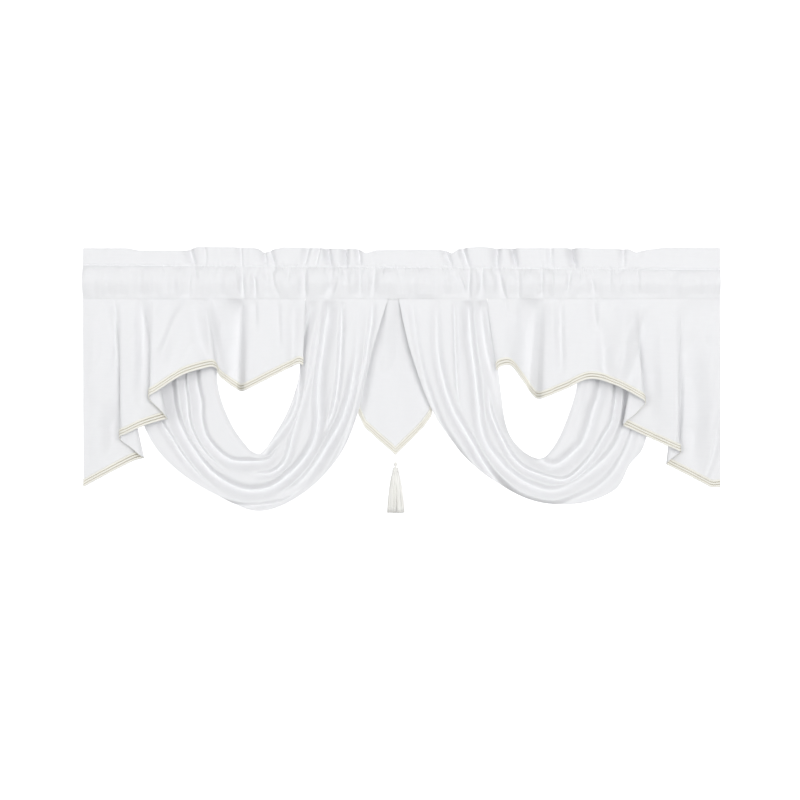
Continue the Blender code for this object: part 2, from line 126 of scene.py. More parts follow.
world = bpy.data.worlds.new("studio")
world.use_nodes = True
sky = world.node_tree.nodes["Background"]
sky.inputs["Color"].default_value = (*SKY_COLOUR, 1)
# the camera sees a full white sky, while the cloth is lit by the weaker one
seen = world.node_tree.nodes.new("ShaderNodeLightPath").outputs["Is Camera Ray"]
strength = world.node_tree.nodes.new("ShaderNodeMath")
strength.operation = "MAXIMUM"
strength.inputs[0].default_value = SKY
world.node_tree.links.new(seen, strength.inputs[1])
world.node_tree.links.new(strength.outputs[0], sky.inputs["Strength"])
bpy.context.scene.world = world
for lamp in LAMPS:
    light = bpy.data.lights.new(lamp.name, "AREA")
    light.shape = "DISK"
    light.size = lamp.size
    light.energy = lamp.watts
    holder = bpy.data.objects.new(lamp.name, light)
    holder.location = lamp.place
    holder.rotation_euler = (AIM - Vector(lamp.place)).to_track_quat("-Z", "Y").to_euler()
    holder.visible_camera = False
    bpy.context.scene.collection.objects.link(holder)
bpy.context.scene.view_settings.view_transform = "Standard"
print("lamps:", ", ".join(lamp.name for lamp in LAMPS))

# %% [markdown]
# The cloth is closely woven with a soft sheen, and its threads vary a little, which shows as faint
# streaks. Both effects are node groups, because the cloth and the trim use them with values of their
# own. A group gives only heights and masks, and the shader with its sheen stays in the material.


# %% Node helpers
def add_node(tree, kind, links=(), **settings):
    """A node with its settings, and links given as (input, where it comes from)."""
    made = tree.nodes.new(kind)
    for name, value in settings.items():
        setattr(made, name, value)
    for socket, source in links:
        if hasattr(source, "is_linked"):
            tree.links.new(source, made.inputs[socket])
        else:
            made.inputs[socket].default_value = source
    return made


def calc(tree, operation, *values):
    """One step of arithmetic: what comes out of an operation on numbers or sockets."""
    return add_node(tree, "ShaderNodeMath", enumerate(values), operation=operation).outputs[0]


def new_group(name, output, inputs):
    """An empty node group that takes a Vector and named numbers and puts out one number."""
    group = bpy.data.node_groups.new(name, "ShaderNodeTree")
    group.interface.new_socket("Vector", in_out="INPUT", socket_type="NodeSocketVector")
    for label, value in inputs.items():
        socket = group.interface.new_socket(label, in_out="INPUT", socket_type="NodeSocketFloat")
        socket.default_value = value
    group.interface.new_socket(output, in_out="OUTPUT", socket_type="NodeSocketFloat")
    return group, group.nodes.new("NodeGroupInput").outputs, group.nodes.new("NodeGroupOutput").inputs


# %% The weave: threads over and under each other
def weave_group():
    """Plain weave: warp humps show in every other square, and weft humps in the rest."""
    group, given, out = new_group("plain weave", "Height", {"Threads per metre": 1500.0})
    scaled = add_node(group, "ShaderNodeVectorMath", [(0, given["Vector"]),
                      ("Scale", given["Threads per metre"])], operation="SCALE").outputs[0]
    parts = add_node(group, "ShaderNodeSeparateXYZ", [(0, scaled)]).outputs
    humps = []
    for axis in ("X", "Y"):
        wave = calc(group, "SINE", calc(group, "MULTIPLY", parts[axis], math.pi))
        humps.append(calc(group, "ABSOLUTE", wave))
    squares = add_node(group, "ShaderNodeTexChecker", [("Vector", scaled), ("Scale", 1.0)])
    over = add_node(group, "ShaderNodeMix", [(0, squares.outputs["Fac"]), (2, humps[0]), (3, humps[1])],
                    data_type="FLOAT")
    group.links.new(over.outputs[0], out["Height"])
    return group


weave = weave_group()
print("node group:", weave.name)


# %% The slub: uneven threads that show as streaks
def slub_group():
    """Streaks along one direction: noise stretched along the thread."""
    group, given, out = new_group("slub", "Mask", {"Streaks per metre": 260.0, "Stretch": 9.0})
    along = calc(group, "DIVIDE", given["Streaks per metre"], given["Stretch"])
    scale = add_node(group, "ShaderNodeCombineXYZ", [("X", along), ("Y", given["Streaks per metre"]),
                     ("Z", 1.0)])
    spread = add_node(group, "ShaderNodeVectorMath", [(0, given["Vector"]), (1, scale.outputs[0])],
                      operation="MULTIPLY")
    noise = add_node(group, "ShaderNodeTexNoise", [("Vector", spread.outputs[0]), ("Scale", 1.0),
                     ("Detail", 2.0), ("Roughness", 0.55)])
    group.links.new(noise.outputs["Fac"], out["Mask"])
    return group


slub = slub_group()
print("node group:", slub.name)


# %% The twist: fine plies that wind round a cord or thread
def twist_group():
    """Slanting ridges on a cord whose UV runs along it in metres and around it from 0 to 1."""
    group, given, out = new_group("twist", "Height", {"Turns per metre": 700.0, "Plies": 3.0})
    parts = add_node(group, "ShaderNodeSeparateXYZ", [(0, given["Vector"])]).outputs
    along = calc(group, "MULTIPLY", parts["X"], given["Turns per metre"])
    around = calc(group, "MULTIPLY", parts["Y"], given["Plies"])
    wave = calc(group, "SINE", calc(group, "MULTIPLY", calc(group, "ADD", along, around), 2 * math.pi))
    group.links.new(calc(group, "MULTIPLY_ADD", wave, 0.5, 0.5), out["Height"])
    return group


twist = twist_group()
print("node group:", twist.name)

# %% [markdown]
# Three finishes: white cloth, ivory cord for the braid with its darker beige zigzag thread, and the
# silky ivory thread of the tassel. Each mixes two near colours by the streaks, so no part is one flat
# colour, and each takes its fine relief from a bump.


# %% The finishes
SLUB_RELIEF = 0.6
SHEEN_ROUGHNESS = 0.4
SPECULAR = 0.3


def finish_material(name, pattern, pattern_values, dark, light, roughness, sheen, bump):
    """A cloth or thread: pattern for relief, slub for colour and gloss; bump is strength and height."""
    made = bpy.data.materials.new(name)
    made.use_nodes = True
    tree = made.node_tree
    shader = tree.nodes["Principled BSDF"]
    place = add_node(tree, "ShaderNodeTexCoord").outputs["UV"]
    relief = add_node(tree, "ShaderNodeGroup", node_tree=pattern)
    streaks = add_node(tree, "ShaderNodeGroup", node_tree=slub)
    for group in (relief, streaks):
        tree.links.new(place, group.inputs["Vector"])
    for label, value in pattern_values.items():
        relief.inputs[label].default_value = value
    tone = add_node(tree, "ShaderNodeMix", [("Factor", streaks.outputs["Mask"])], data_type="RGBA")
    tone.inputs[6].default_value = (*dark, 1)
    tone.inputs[7].default_value = (*light, 1)
    gloss = add_node(tree, "ShaderNodeMapRange", [("Value", streaks.outputs["Mask"]),
                     ("To Min", roughness[0]), ("To Max", roughness[1])])
    height = calc(tree, "MULTIPLY_ADD", streaks.outputs["Mask"], SLUB_RELIEF, relief.outputs["Height"])
    grain = add_node(tree, "ShaderNodeBump", [("Strength", bump[0]), ("Distance", bump[1]),
                     ("Height", height)])
    tree.links.new(tone.outputs[2], shader.inputs["Base Color"])
    tree.links.new(gloss.outputs[0], shader.inputs["Roughness"])
    tree.links.new(grain.outputs[0], shader.inputs["Normal"])
    shader.inputs["Sheen Weight"].default_value = sheen
    shader.inputs["Sheen Roughness"].default_value = SHEEN_ROUGHNESS
    shader.inputs["Specular IOR Level"].default_value = SPECULAR
    return made


white_cloth = finish_material(
    "white cloth", weave, {"Threads per metre": 1500.0}, dark=(0.855, 0.858, 0.87),
    light=(0.885, 0.887, 0.898), roughness=(0.5, 0.62), sheen=0.15, bump=(0.25, 0.0002))
ivory_cord = finish_material(
    "ivory cord", twist, {"Turns per metre": 900.0}, dark=(0.915, 0.895, 0.81),
    light=(0.96, 0.95, 0.895), roughness=(0.5, 0.65), sheen=0.5, bump=(0.4, 0.0003))
beige_thread = finish_material(
    "beige thread", twist, {"Turns per metre": 1200.0}, dark=(0.50, 0.45, 0.32),
    light=(0.62, 0.57, 0.43), roughness=(0.5, 0.65), sheen=0.1, bump=(0.4, 0.0002))
ivory_thread = finish_material(
    "ivory thread", twist, {"Turns per metre": 500.0}, dark=(0.975, 0.965, 0.92),
    light=(0.99, 0.985, 0.95), roughness=(0.4, 0.55), sheen=0.9, bump=(0.15, 0.0002))
print("finishes:", ", ".join(m.name for m in (white_cloth, ivory_cord, beige_thread, ivory_thread)))

# %% The paper of the sweep
PAPER_GREY = 0.55
PAPER_ROUGHNESS = 0.9

paper = bpy.data.materials.new("paper")
paper.use_nodes = True
paper_shader = paper.node_tree.nodes["Principled BSDF"]
paper_shader.inputs["Base Color"].default_value = (PAPER_GREY, PAPER_GREY, PAPER_GREY, 1)
paper_shader.inputs["Roughness"].default_value = PAPER_ROUGHNESS
# the paper glows to the camera alone, so it shows as pure white and lights nothing
paper_shader.inputs["Emission Color"].default_value = (1, 1, 1, 1)
seen = add_node(paper.node_tree, "ShaderNodeLightPath").outputs["Is Camera Ray"]
paper.node_tree.links.new(seen, paper_shader.inputs["Emission Strength"])
sweep.data.materials.append(paper)
print("the sweep is covered with", paper.name)

# %% [markdown]
# The sizes and tables below are the ones the solids are made from, so each piece lies on its solid.
# A jabot is a row of fold lines, a swag a row of stations with the valleys between its folds, and the
# heading a row of gathers.

# %% Shared sizes
HALF_WIDTH = 684.0
SEAM_DROP_LEFT = 39.0
SEAM_DROP_RIGHT = 49.0
BASE_DROP = 111.0
HEADER_HALF = 1.5
HEM_HALF = 2.4
HEM_HEIGHT = 5.0
SEWN_GAP = 0.3
SEWN_OFFSET = 1.6
BRAID_WIDTH = 17.0
THICK = 0.8
POCKET_FRONT = 14.0
POCKET_BACK = 12.0
POCKET_HIGH = 0.66
POCKET_LOW = 0.62
POCKET_SHOULDER = 11.0
POCKET_FOOT = 20.0
MIDDLE_SHARE = 0.8
SEAM_SHARE = 0.3
BASE_SHARE = 0.35
GATHER_FADE = 45.0
print("the valance is", 2 * HALF_WIDTH, "mm wide")

# %% The top edge and the gathers
EdgePoint = namedtuple("EdgePoint", "x drop")
Gather = namedtuple("Gather", "top_x seam_x base_x head_depth pocket_depth width")
TOP_EDGE = (
    EdgePoint(-684, 1), EdgePoint(-585, 1), EdgePoint(-564, 6), EdgePoint(-465, 6),
    EdgePoint(-440, -2), EdgePoint(-358, -1), EdgePoint(-309, 1), EdgePoint(-294, 10),
    EdgePoint(-277, 4), EdgePoint(-254, -1), EdgePoint(-153, 1), EdgePoint(-93, 2),
    EdgePoint(-76, 12), EdgePoint(-55, 5), EdgePoint(65, 4), EdgePoint(93, 5),
    EdgePoint(108, 12), EdgePoint(123, 2), EdgePoint(168, -3), EdgePoint(211, 1),
    EdgePoint(361, 0), EdgePoint(489, 3), EdgePoint(504, 10), EdgePoint(528, 4),
    EdgePoint(570, -1), EdgePoint(684, 0),
)
GATHERS = (
    Gather(-557, -557, -560, 2, 1, 9), Gather(-455, -444, -450, 7, 2, 11),
    Gather(-343, -339, -337, 3, 5, 9), Gather(-311, -314, -312, 2, 4, 9),
    Gather(-294, -291, -288, 6, 2, 9), Gather(-284, -271, -262, 5, 3, 9),
    Gather(-198, -209, -214, 5, 4, 9), Gather(-159, -151, -157, 8, 5, 11),
    Gather(-118, -121, -114, 8, 3, 10), Gather(-93, -89, -87, 5, 3, 10),
    Gather(-59, -59, -63, 2, 5, 9), Gather(100, 112, 130, 6, 3, 11),
    Gather(129, 144, 145, 7, 5, 9), Gather(170, 174, 174, 2, 5, 9),
    Gather(209, 207, 218, 8, 4, 10), Gather(241, 251, 251, 7, 3, 10),
    Gather(296, 303, 305, 2, 4, 9), Gather(322, 322, 322, 4, 2, 9),
    Gather(371, 377, 388, 8, 2, 11), Gather(406, 410, 416, 2, 5, 11),
    Gather(478, 478, 480, 4, 2, 9), Gather(506, 508, 517, 3, 3, 11),
    Gather(611, 613, 611, 1, 2, 9),
)
print("gathers in the heading:", len(GATHERS))


# %% Shared curves
def through(values, place):
    """A smooth curve through evenly numbered values, read at places between them."""
    values = np.asarray(values, float)
    last = len(values) - 1
    first = np.clip(np.asarray(place).astype(int), 0, last - 1)
    part = place - first
    a, b, c, d = (values[np.clip(first + step, 0, last)] for step in (-1, 0, 1, 2))
    return b + 0.5 * part * (c - a + part * (2 * a - 5 * b + 4 * c - d + part * (3 * (b - c) + d - a)))


def base_gather(x):
    """How far the gathers push the cloth back where the lower pieces are sewn on."""
    return BASE_SHARE * sum(g.pocket_depth * np.exp(-((x - g.base_x) / g.width) ** 2) for g in GATHERS)


def hanging_gather(x, drop):
    """The sewing line's gathers, dying away down a hanging piece."""
    return base_gather(x) * np.exp(-(drop - BASE_DROP) / GATHER_FADE)


# %% [markdown]
# A hung cloth is never a clean set of folds. It has soft creases that begin and end, sharper on one
# side, and a slight unevenness from handling. Creases are placed from listed tables, in their own
# sizes. The unevenness is smooth noise read by place, the same for every layer, so that two layers
# that lie close never pass through each other.

# %% Creases
Crease = namedtuple("Crease", "name left right path")
CREASE_STEPS = 4
CREASE_BLEND = 4


def smooth_path(path):
    """A crease's points with a smooth curve laid through them: columns x, drop and depth."""
    count = len(path)
    places = np.linspace(0, count - 1, (count - 1) * CREASE_STEPS + 1) if count > 2 else np.arange(2.0)
    return [through(column, places) for column in zip(*path)]


def crease_depth(crease, x, drop, roundness):
    """One crease's push at each place: full on its line, less with the distance on either side."""
    nearest = np.full(x.shape, np.inf)
    side, deep = np.zeros_like(x), np.zeros_like(x)
    line_x, line_drop, line_deep = smooth_path(crease.path)
    for step in range(len(line_x) - 1):
        run_x, run_drop = line_x[step + 1] - line_x[step], line_drop[step + 1] - line_drop[step]
        off_x, off_drop = x - line_x[step], drop - line_drop[step]
        share = np.clip((off_x * run_x + off_drop * run_drop) / (run_x ** 2 + run_drop ** 2), 0, 1)
        far = np.hypot(off_x - share * run_x, off_drop - share * run_drop)
        near = far < nearest
        nearest = np.where(near, far, nearest)
        side = np.where(near, run_x * off_drop - run_drop * off_x, side)
        deep = np.where(near, line_deep[step] + (line_deep[step + 1] - line_deep[step]) * share, deep)
    return deep * np.exp(-((nearest / np.where(side > 0, crease.left, crease.right)) ** roundness))


def press(creases, x, drop, roundness=2.0):
    """All creases together: where they meet they blend and don't add up; ridges come forward."""
    pushes = [crease_depth(crease, x, drop, roundness) for crease in creases]
    back = sum((np.maximum(push, 0) ** CREASE_BLEND for push in pushes), np.zeros_like(x))
    return back ** (1 / CREASE_BLEND) + sum((np.minimum(push, 0) for push in pushes), np.zeros_like(x))


print("a crease is laid through its points in", CREASE_STEPS, "steps between each two")

# %% Unevenness
Waves = namedtuple("Waves", "strength wide tall lean seed")
BROAD_WAVES = Waves(3.5, 70, 120, 0, 3)
RIDGES = Waves(2.8, 30, 60, 0.25, 5)
DENTS = Waves(0.2, 13, 19, -0.3, 8)
LATTICE = 64


def soft_noise(across, down, seed):
    """Smooth noise from -1 to 1: random heights on a lattice, blended between its points."""
    heights = np.random.default_rng(seed).uniform(-1, 1, (LATTICE, LATTICE))
    left, top = np.floor(across).astype(int), np.floor(down).astype(int)
    part_x, part_y = across - left, down - top
    part_x, part_y = (part * part * (3 - 2 * part) for part in (part_x, part_y))
    a, b = (heights[(left + step) % LATTICE, top % LATTICE] for step in (0, 1))
    c, d = (heights[(left + step) % LATTICE, (top + 1) % LATTICE] for step in (0, 1))
    return (a + (b - a) * part_x) * (1 - part_y) + (c + (d - c) * part_x) * part_y


def wavy(waves, x, drop):
    """Noise of one size, in millimetres, whose waves lean as they go down."""
    return soft_noise((x + waves.lean * drop) / waves.wide, drop / waves.tall, waves.seed)


def handled(x, drop):
    """The cloth's unevenness: broad waves, broken ridges and small dents."""
    ridges = 0.5 - np.abs(wavy(RIDGES, x, drop))
    return (BROAD_WAVES.strength * wavy(BROAD_WAVES, x, drop) + RIDGES.strength * ridges
            + DENTS.strength * wavy(DENTS, x, drop))


print("waves of", ", ".join(f"{waves.strength} mm" for waves in (BROAD_WAVES, RIDGES, DENTS)))


# %% [markdown]
# Every sheet is made the same way: a grid is added, each of its points is put where the piece's own
# rule says, and Solidify gives it the thickness of cloth. The UV map is the cloth laid flat, in
# metres, so that the weave keeps its size on every piece.


# %% The sheet maker
SMOOTH_ANGLE = 50.0


def walked(spots, axis):
    """The distance walked over the cloth along one direction of the grid."""
    steps = np.linalg.norm(np.diff(spots, axis=axis), axis=2)
    zero = np.zeros_like(np.take(spots, [0], axis=axis)[..., 0])
    return np.concatenate((zero, np.cumsum(steps, axis=axis)), axis=axis)


def metres(x, y, drop):
    """Places in millimetres, given as x, y and drop, as points in metres."""
    return np.stack((x, y, -drop), axis=-1) * MM


def sheet_piece(name, spots, finish, *nodes):
    """A sheet laid on a grid of places (rows, columns), with its thickness and its flat UV map."""
    down, across = spots.shape[0] - 1, spots.shape[1] - 1
    select_none()
    bpy.ops.mesh.primitive_grid_add(x_subdivisions=across, y_subdivisions=down, size=1)
    piece = bpy.context.object
    piece.name = name
    mesh = piece.data
    flat = np.empty(len(mesh.vertices) * 3)
    mesh.vertices.foreach_get("co", flat)
    flat = flat.reshape(-1, 3)
    column = np.rint((flat[:, 0] + 0.5) * across).astype(int)
    row = np.rint((0.5 - flat[:, 1]) * down).astype(int)
    mesh.vertices.foreach_set("co", spots[row, column].ravel())
    right, fall = walked(spots, 1), walked(spots, 0)
    corners = np.empty(len(mesh.loops), int)
    mesh.loops.foreach_get("vertex_index", corners)
    laid = np.stack((right[row, column], fall[row, column]), axis=-1)[corners]
    mesh.uv_layers.active.data.foreach_set("uv", laid.ravel())
    mesh.materials.append(finish)
    wall = piece.modifiers.new("thickness", "SOLIDIFY")
    wall.thickness = THICK * MM
    wall.offset = 0
    bpy.ops.object.modifier_apply(modifier=wall.name)
    bpy.ops.object.shade_smooth_by_angle(angle=math.radians(SMOOTH_ANGLE))
    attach(piece, "root")
    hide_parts(*nodes)
    return piece


print("cloth", THICK, "mm thick")


# %% Measures of a piece
def area_of(piece):
    """The cloth's area in square metres: half of the closed sheet's surface."""
    return sum(face.area for face in piece.data.polygons) / 2


def triangles(piece):
    """How many triangles a piece has."""
    return sum(len(face.vertices) - 2 for face in piece.data.polygons)


print("the sweep has", triangles(sweep), "triangles")

# %% [markdown]
# The heading is one strip, folded at the top and sewn through twice: the upper row makes the ruffle
# above and the pocket below it, and the lower row closes the pocket and holds the hanging pieces. It
# is pushed together along the rod, least at the ends. Most of its creases have a wide left side and a
# steep right side, because gathered cloth leans over, and the steep side is what shows as a line. Its
# path is walked from the back hem, up, over the top and down the front, as the strip really runs.

# %% The ruffle's creases
HEADER_CREASES = (
    Crease("h1", 16.5, 3.3, ((-458, -6, 11.6), (-450, 17, 11.6), (-443, 40, 8.2))),
    Crease("h2", 8.2, 2.8, ((-421, 6, 5.1), (-420, 22, 5.1), (-420, 38, 3.6))),
    Crease("h3", 8.2, 2.8, ((-344, -6, 6.6), (-344, 17, 6.6), (-343, 40, 4.5))),
    Crease("h4", 14.2, 4.2, ((-298, -6, 12.6), (-294, 10, 12.6), (-290, 26, 8.7))),
    Crease("h5", 10.5, 3.3, ((-281, 8, 7.7), (-276, 25, 7.7), (-271, 42, 5.5))),
    Crease("h6", 10.5, 2.8, ((-196, -6, 8.7), (-202, 17, 8.7), (-207, 40, 6.1))),
    Crease("h7", 8.2, 2.8, ((-173, -6, 7.3), (-178, 17, 7.3), (-184, 40, 5.2))),
    Crease("h8", 10.5, 3.3, ((-158, -6, 16.5), (-154, 20, 16.5), (-150, 44, 11.6), (-147, 74, 0))),
    Crease("h9", 8.2, 3.3, ((-118, -6, 14.4), (-118, 20, 14.4), (-118, 46, 9.8), (-114, 82, 0))),
    Crease("h10", 10.5, 3.3, ((-93, -6, 9.8), (-90, 18, 9.8), (-87, 42, 6.8))),
    Crease("h11", 12, 3.3, ((90, 0, 9.8), (104, 30, 10.5), (114, 62, 5.9), (120, 74, 0))),
    Crease("h12", 10.5, 3.3, ((131, -6, 9.8), (138, 19, 9.8), (146, 44, 6.8))),
    Crease("h13", 12, 3.3, ((208, -6, 15.5), (207, 40, 12.6), (213, 76, 12.6), (223, 114, 9.8))),
    Crease("h14", 10.5, 3.3, ((238, -6, 14.4), (244, 20, 14.4), (250, 46, 10.1))),
    Crease("h15", 8.2, 2.8, ((322, -6, 5.9), (322, 19, 5.9), (322, 44, 4))),
    Crease("h16", 12, 3.3, ((369, -6, 18.3), (371, 20, 18.3), (376, 44, 11.6), (380, 60, 0))),
    Crease("h17", 8.2, 2.8, ((478, -6, 7), (478, 20, 7), (478, 46, 4.8))),
)
print("creases in the ruffle:", len(HEADER_CREASES))

# %% The pocket's creases
POCKET_CREASES = (
    Crease("p1", 4.5, 2.8, ((-557, 52, 2.8), (-557, 112, 1.3))),
    Crease("p2", 9, 3, ((-448, 44, 6.8), (-452, 60, 4.2), (-456, 108, 2.1))),
    Crease("p3", 9, 2.8, ((-342, 44, 4.2), (-341, 70, 6.8), (-338, 112, 6.8))),
    Crease("p4", 7.5, 3, ((-322, 56, 0), (-314, 76, 7.6), (-313, 114, 6.8))),
    Crease("p5", 7.5, 2.8, ((-292, 44, 6.8), (-286, 62, 4.8), (-284, 84, 0))),
    Crease("p6", 7.5, 3, ((-268, 44, 6.8), (-276, 56, 5.5), (-272, 80, 4.2), (-262, 108, 2.8))),
    Crease("p7", 9, 3, ((-240, 46, 5.5), (-242, 62, 4.2), (-244, 88, 0))),
    Crease("p8", 7.5, 3, ((-207, 50, 4.2), (-206, 80, 5.5), (-206, 114, 6.8))),
    Crease("p9", 14.2, 4.2, ((-140, 74, 4.2), (-148, 92, 8.9), (-158, 112, 11))),
    Crease("p10", 7.5, 2.8, ((-86, 44, 5.5), (-88, 70, 4.2), (-88, 108, 4.2))),
    Crease("p11", 9, 3, ((-56, 40, 6.2), (-58, 66, 7.6), (-63, 114, 9.7))),
    Crease("p12", 7.5, 3, ((124, 60, 2.8), (132, 80, 5.5), (144, 112, 8.2))),
    Crease("p13", 7.5, 3, ((148, 40, 6.8), (146, 70, 6.8), (144, 114, 8.9))),
    Crease("p14", 9, 3, ((171, 40, 7.6), (173, 70, 8.2), (173, 114, 8.9))),
    Crease("p15", 9, 3, ((251, 48, 5.5), (252, 80, 3.4), (252, 108, 2.8))),
    Crease("p16", 10.5, 2.8, ((303, 46, 5.5), (302, 80, 4.2), (303, 112, 4.2))),
    Crease("p17", 7.5, 3, ((324, 60, -3.4), (324, 90, -3.4), (326, 112, 0))),
    Crease("p18", 7.5, 3, ((364, 50, 6.2), (358, 84, 4.8), (354, 108, 1.3))),
    Crease("p19", 7.5, 2.8, ((386, 44, 6.2), (382, 62, 4.2), (380, 86, 0))),
    Crease("p20", 9, 3, ((405, 60, 2.8), (412, 84, 6.8), (414, 114, 8.9))),
    Crease("p21", 7.5, 2.8, ((448, 46, 3.4), (448, 76, 2.8), (448, 100, 0))),
    Crease("p22", 7.5, 2.8, ((466, 48, 3.4), (466, 76, 2.8), (466, 100, 0))),
    Crease("p23", 10.5, 3, ((508, 52, 3.4), (508, 80, 3.1), (510, 108, 2.1))),
    Crease("p24", 9.5, 9.5, ((600, 84, 0), (618, 76, 2.1), (640, 74, 0))),
)
print("creases in the pocket:", len(POCKET_CREASES))

# %% The heading's section, walked from the back hem over the top to the front hem
ROLL = 2.0
CROWN = 1.0


def leaning(x, level):
    """How far a gather line at seam place x has moved sideways at the top (0) or the base (2)."""
    places = [-HALF_WIDTH] + [g.seam_x for g in GATHERS] + [HALF_WIDTH]
    moves = [0] + [(g.top_x, g.seam_x, g.base_x)[level] - g.seam_x for g in GATHERS] + [0]
    return np.interp(x, places, moves)


def gathering(x, column):
    """How far the gathers push the heading back at seam place x."""
    return sum(getattr(g, column) * np.exp(-((x - g.seam_x) / g.width) ** 2) for g in GATHERS)


def heading_path(x):
    """The strip's corners at seam place x, as rows of (x, y, drop)."""
    top_x, base_x = x + leaning(x, 0), x + leaning(x, 2)
    head, pocket = gathering(x, "head_depth"), gathering(x, "pocket_depth")
    foot = base_gather(base_x)
    top = np.interp(top_x, [p.x for p in TOP_EDGE], [p.drop for p in TOP_EDGE])
    seam = np.interp(x, (-HALF_WIDTH, HALF_WIDTH), (SEAM_DROP_LEFT, SEAM_DROP_RIGHT))
    mid_x, low_x = (top_x + x) / 2, (x + base_x) / 2
    half, middle = (top + seam) / 2, (seam + BASE_DROP) / 2
    hem, low, high = BASE_DROP - HEM_HEIGHT, BASE_DROP - POCKET_FOOT, seam + POCKET_SHOULDER
    flat = np.zeros_like(x)
    back = [
        (base_x, foot + HEM_HALF, flat + BASE_DROP), (base_x, foot + HEM_HALF, flat + hem),
        (low_x, flat + POCKET_LOW * POCKET_BACK, flat + low), (low_x, flat + POCKET_BACK, middle),
        (x, flat + POCKET_HIGH * POCKET_BACK, high), (x, SEAM_SHARE * head + HEADER_HALF, seam),
        (mid_x, MIDDLE_SHARE * head + HEADER_HALF, half), (top_x, head + HEADER_HALF, top + ROLL),
    ]
    front = [
        (top_x, head - HEADER_HALF, top + ROLL), (mid_x, MIDDLE_SHARE * head - HEADER_HALF, half),
        (x, SEAM_SHARE * head - HEADER_HALF, seam), (x, pocket - POCKET_HIGH * POCKET_FRONT, high),
        (low_x, pocket - POCKET_FRONT, middle), (low_x, pocket - POCKET_LOW * POCKET_FRONT, flat + low),
        (base_x, foot - HEM_HALF, flat + hem), (base_x, foot - HEM_HALF, flat + BASE_DROP),
    ]
    crown = [(top_x, head, top - CROWN)]
    return np.array([np.stack(corner) for corner in back + crown + front])


print("corners round the heading:", len(heading_path(np.zeros(1))))

# %% The puckers along the upper seam
PUCKERED = (-520.0, 500.0)
PUCKER_SEED = 21
PUCKER = {
    "step": (0.6, 1.7), "depth": (0.9, 3.2), "width": (1.6, 3.0),
    "up": (5, 11), "below": (6, 15), "slant": (-0.25, 0.25),
}
PUCKER_STEP = 6.5


def puckers(x, from_seam):
    """Small uneven gathers pulled together along the upper sewing line."""
    rng = np.random.default_rng(PUCKER_SEED)
    moved = np.zeros_like(x)
    place, end = PUCKERED
    while place < end:
        step, depth, width, up, below, slant = (rng.uniform(*limits) for limits in PUCKER.values())
        place += PUCKER_STEP * step
        reach = np.where(from_seam < 0, up, below)
        off = x - place - slant * from_seam
        near = np.abs(off) < 4 * width
        moved += near * depth * np.exp(-((off / width) ** 2)) * np.exp(-((from_seam / reach) ** 2))
    return moved


print("puckers every", PUCKER_STEP, "mm or so")

# %% The strip's rows and columns
# roughly how long each stretch of the path is, in millimetres
PATH_STEPS = (5, 11, 21, 26, 11, 20, 18, 3, 3, 18, 20, 11, 26, 21, 11, 5)
PATH_PLACES = np.concatenate(([0], np.cumsum(PATH_STEPS)))
FOLD_CORNER = 8
SEAM_CORNER = 11
BACK_ROWS = 24
FRONT_ROWS = 50
SEAM_ROWS = 2.5
SEAM_SPREAD = 5.0
END_STEP = 3.6
MIDDLE_STEP = 2.05
GATHERED = 520.0
ROUNDING = 26
SEAM_ROUNDING = 2
BELOW_SEAM = 2.5
PATH_MEASURES = 2001


def strip_rows():
    """Where the rows lie along the path: even behind, and closer together near the seam in front."""
    fold = PATH_PLACES[FOLD_CORNER]
    fine = np.linspace(fold, PATH_PLACES[-1], PATH_MEASURES)
    dense = np.cumsum(1 + SEAM_ROWS * np.exp(-(((fine - PATH_PLACES[SEAM_CORNER]) / SEAM_SPREAD) ** 2)))
    front = np.interp(np.linspace(dense[0], dense[-1], FRONT_ROWS + 1), dense, fine)
    return np.concatenate((np.linspace(0, fold, BACK_ROWS + 1), front[1:]))


def strip_columns():
    """Where the columns lie across the strip: closer together where it is gathered."""
    ends = np.linspace(GATHERED, HALF_WIDTH, round((HALF_WIDTH - GATHERED) / END_STEP) + 1)
    middle = np.linspace(-GATHERED, GATHERED, round(2 * GATHERED / MIDDLE_STEP) + 1)
    return np.concatenate((-ends[::-1], middle[1:-1], ends))


def rounded_strip(wanted):
    """The strip's corners joined by rows, then rounded, least at the upper seam."""
    corners = heading_path(strip_columns())
    near = np.clip(np.searchsorted(PATH_PLACES, wanted, side="right") - 1, 0, len(PATH_STEPS) - 1)
    part = (wanted - PATH_PLACES[near]) / np.array(PATH_STEPS)[near]
    rows = corners[near] + (corners[near + 1] - corners[near]) * part[:, None, None]
    below_seam = np.flatnonzero(wanted > PATH_PLACES[SEAM_CORNER] + BELOW_SEAM)[0]
    for turn in range(ROUNDING):
        first = 1 if turn < SEAM_ROUNDING else below_seam
        rows[first:-1] = (rows[first - 1:-2] + 2 * rows[first:-1] + rows[first + 1:]) / 4
    return rows[:, 0], rows[:, 1], rows[:, 2]


print("the strip has", len(strip_columns()), "columns and", len(strip_rows()), "rows")

# %% The strip, creased, puckered and sewn
GATHER_ROUNDNESS = 1.6
RUFFLE_WAVES = Waves(2.0, 24, 60, 0, 12)
RUFFLE_DENTS = Waves(1.3, 9, 40, 0, 13)
SEAM_FADE = 10.0
SEAM_PULL = 0.4
SEAM_PLEAT = 0.9
SHOULDER_FADE = 10.0
FOOT_FADE = 9.0
FOOT_LEAST = 0.25
POCKET_PULL = 1.25
POCKET_PLEAT = 1.9
POCKET_FRAY = 1.5
POCKET_CLEAR = 1.0
LEAST_ROOM = 0.3
GROOVE_PLACES = (440.0, 560.0)
GROOVE_DEPTHS = (1.7, 2.5)
GROOVE_HALF = 2.6


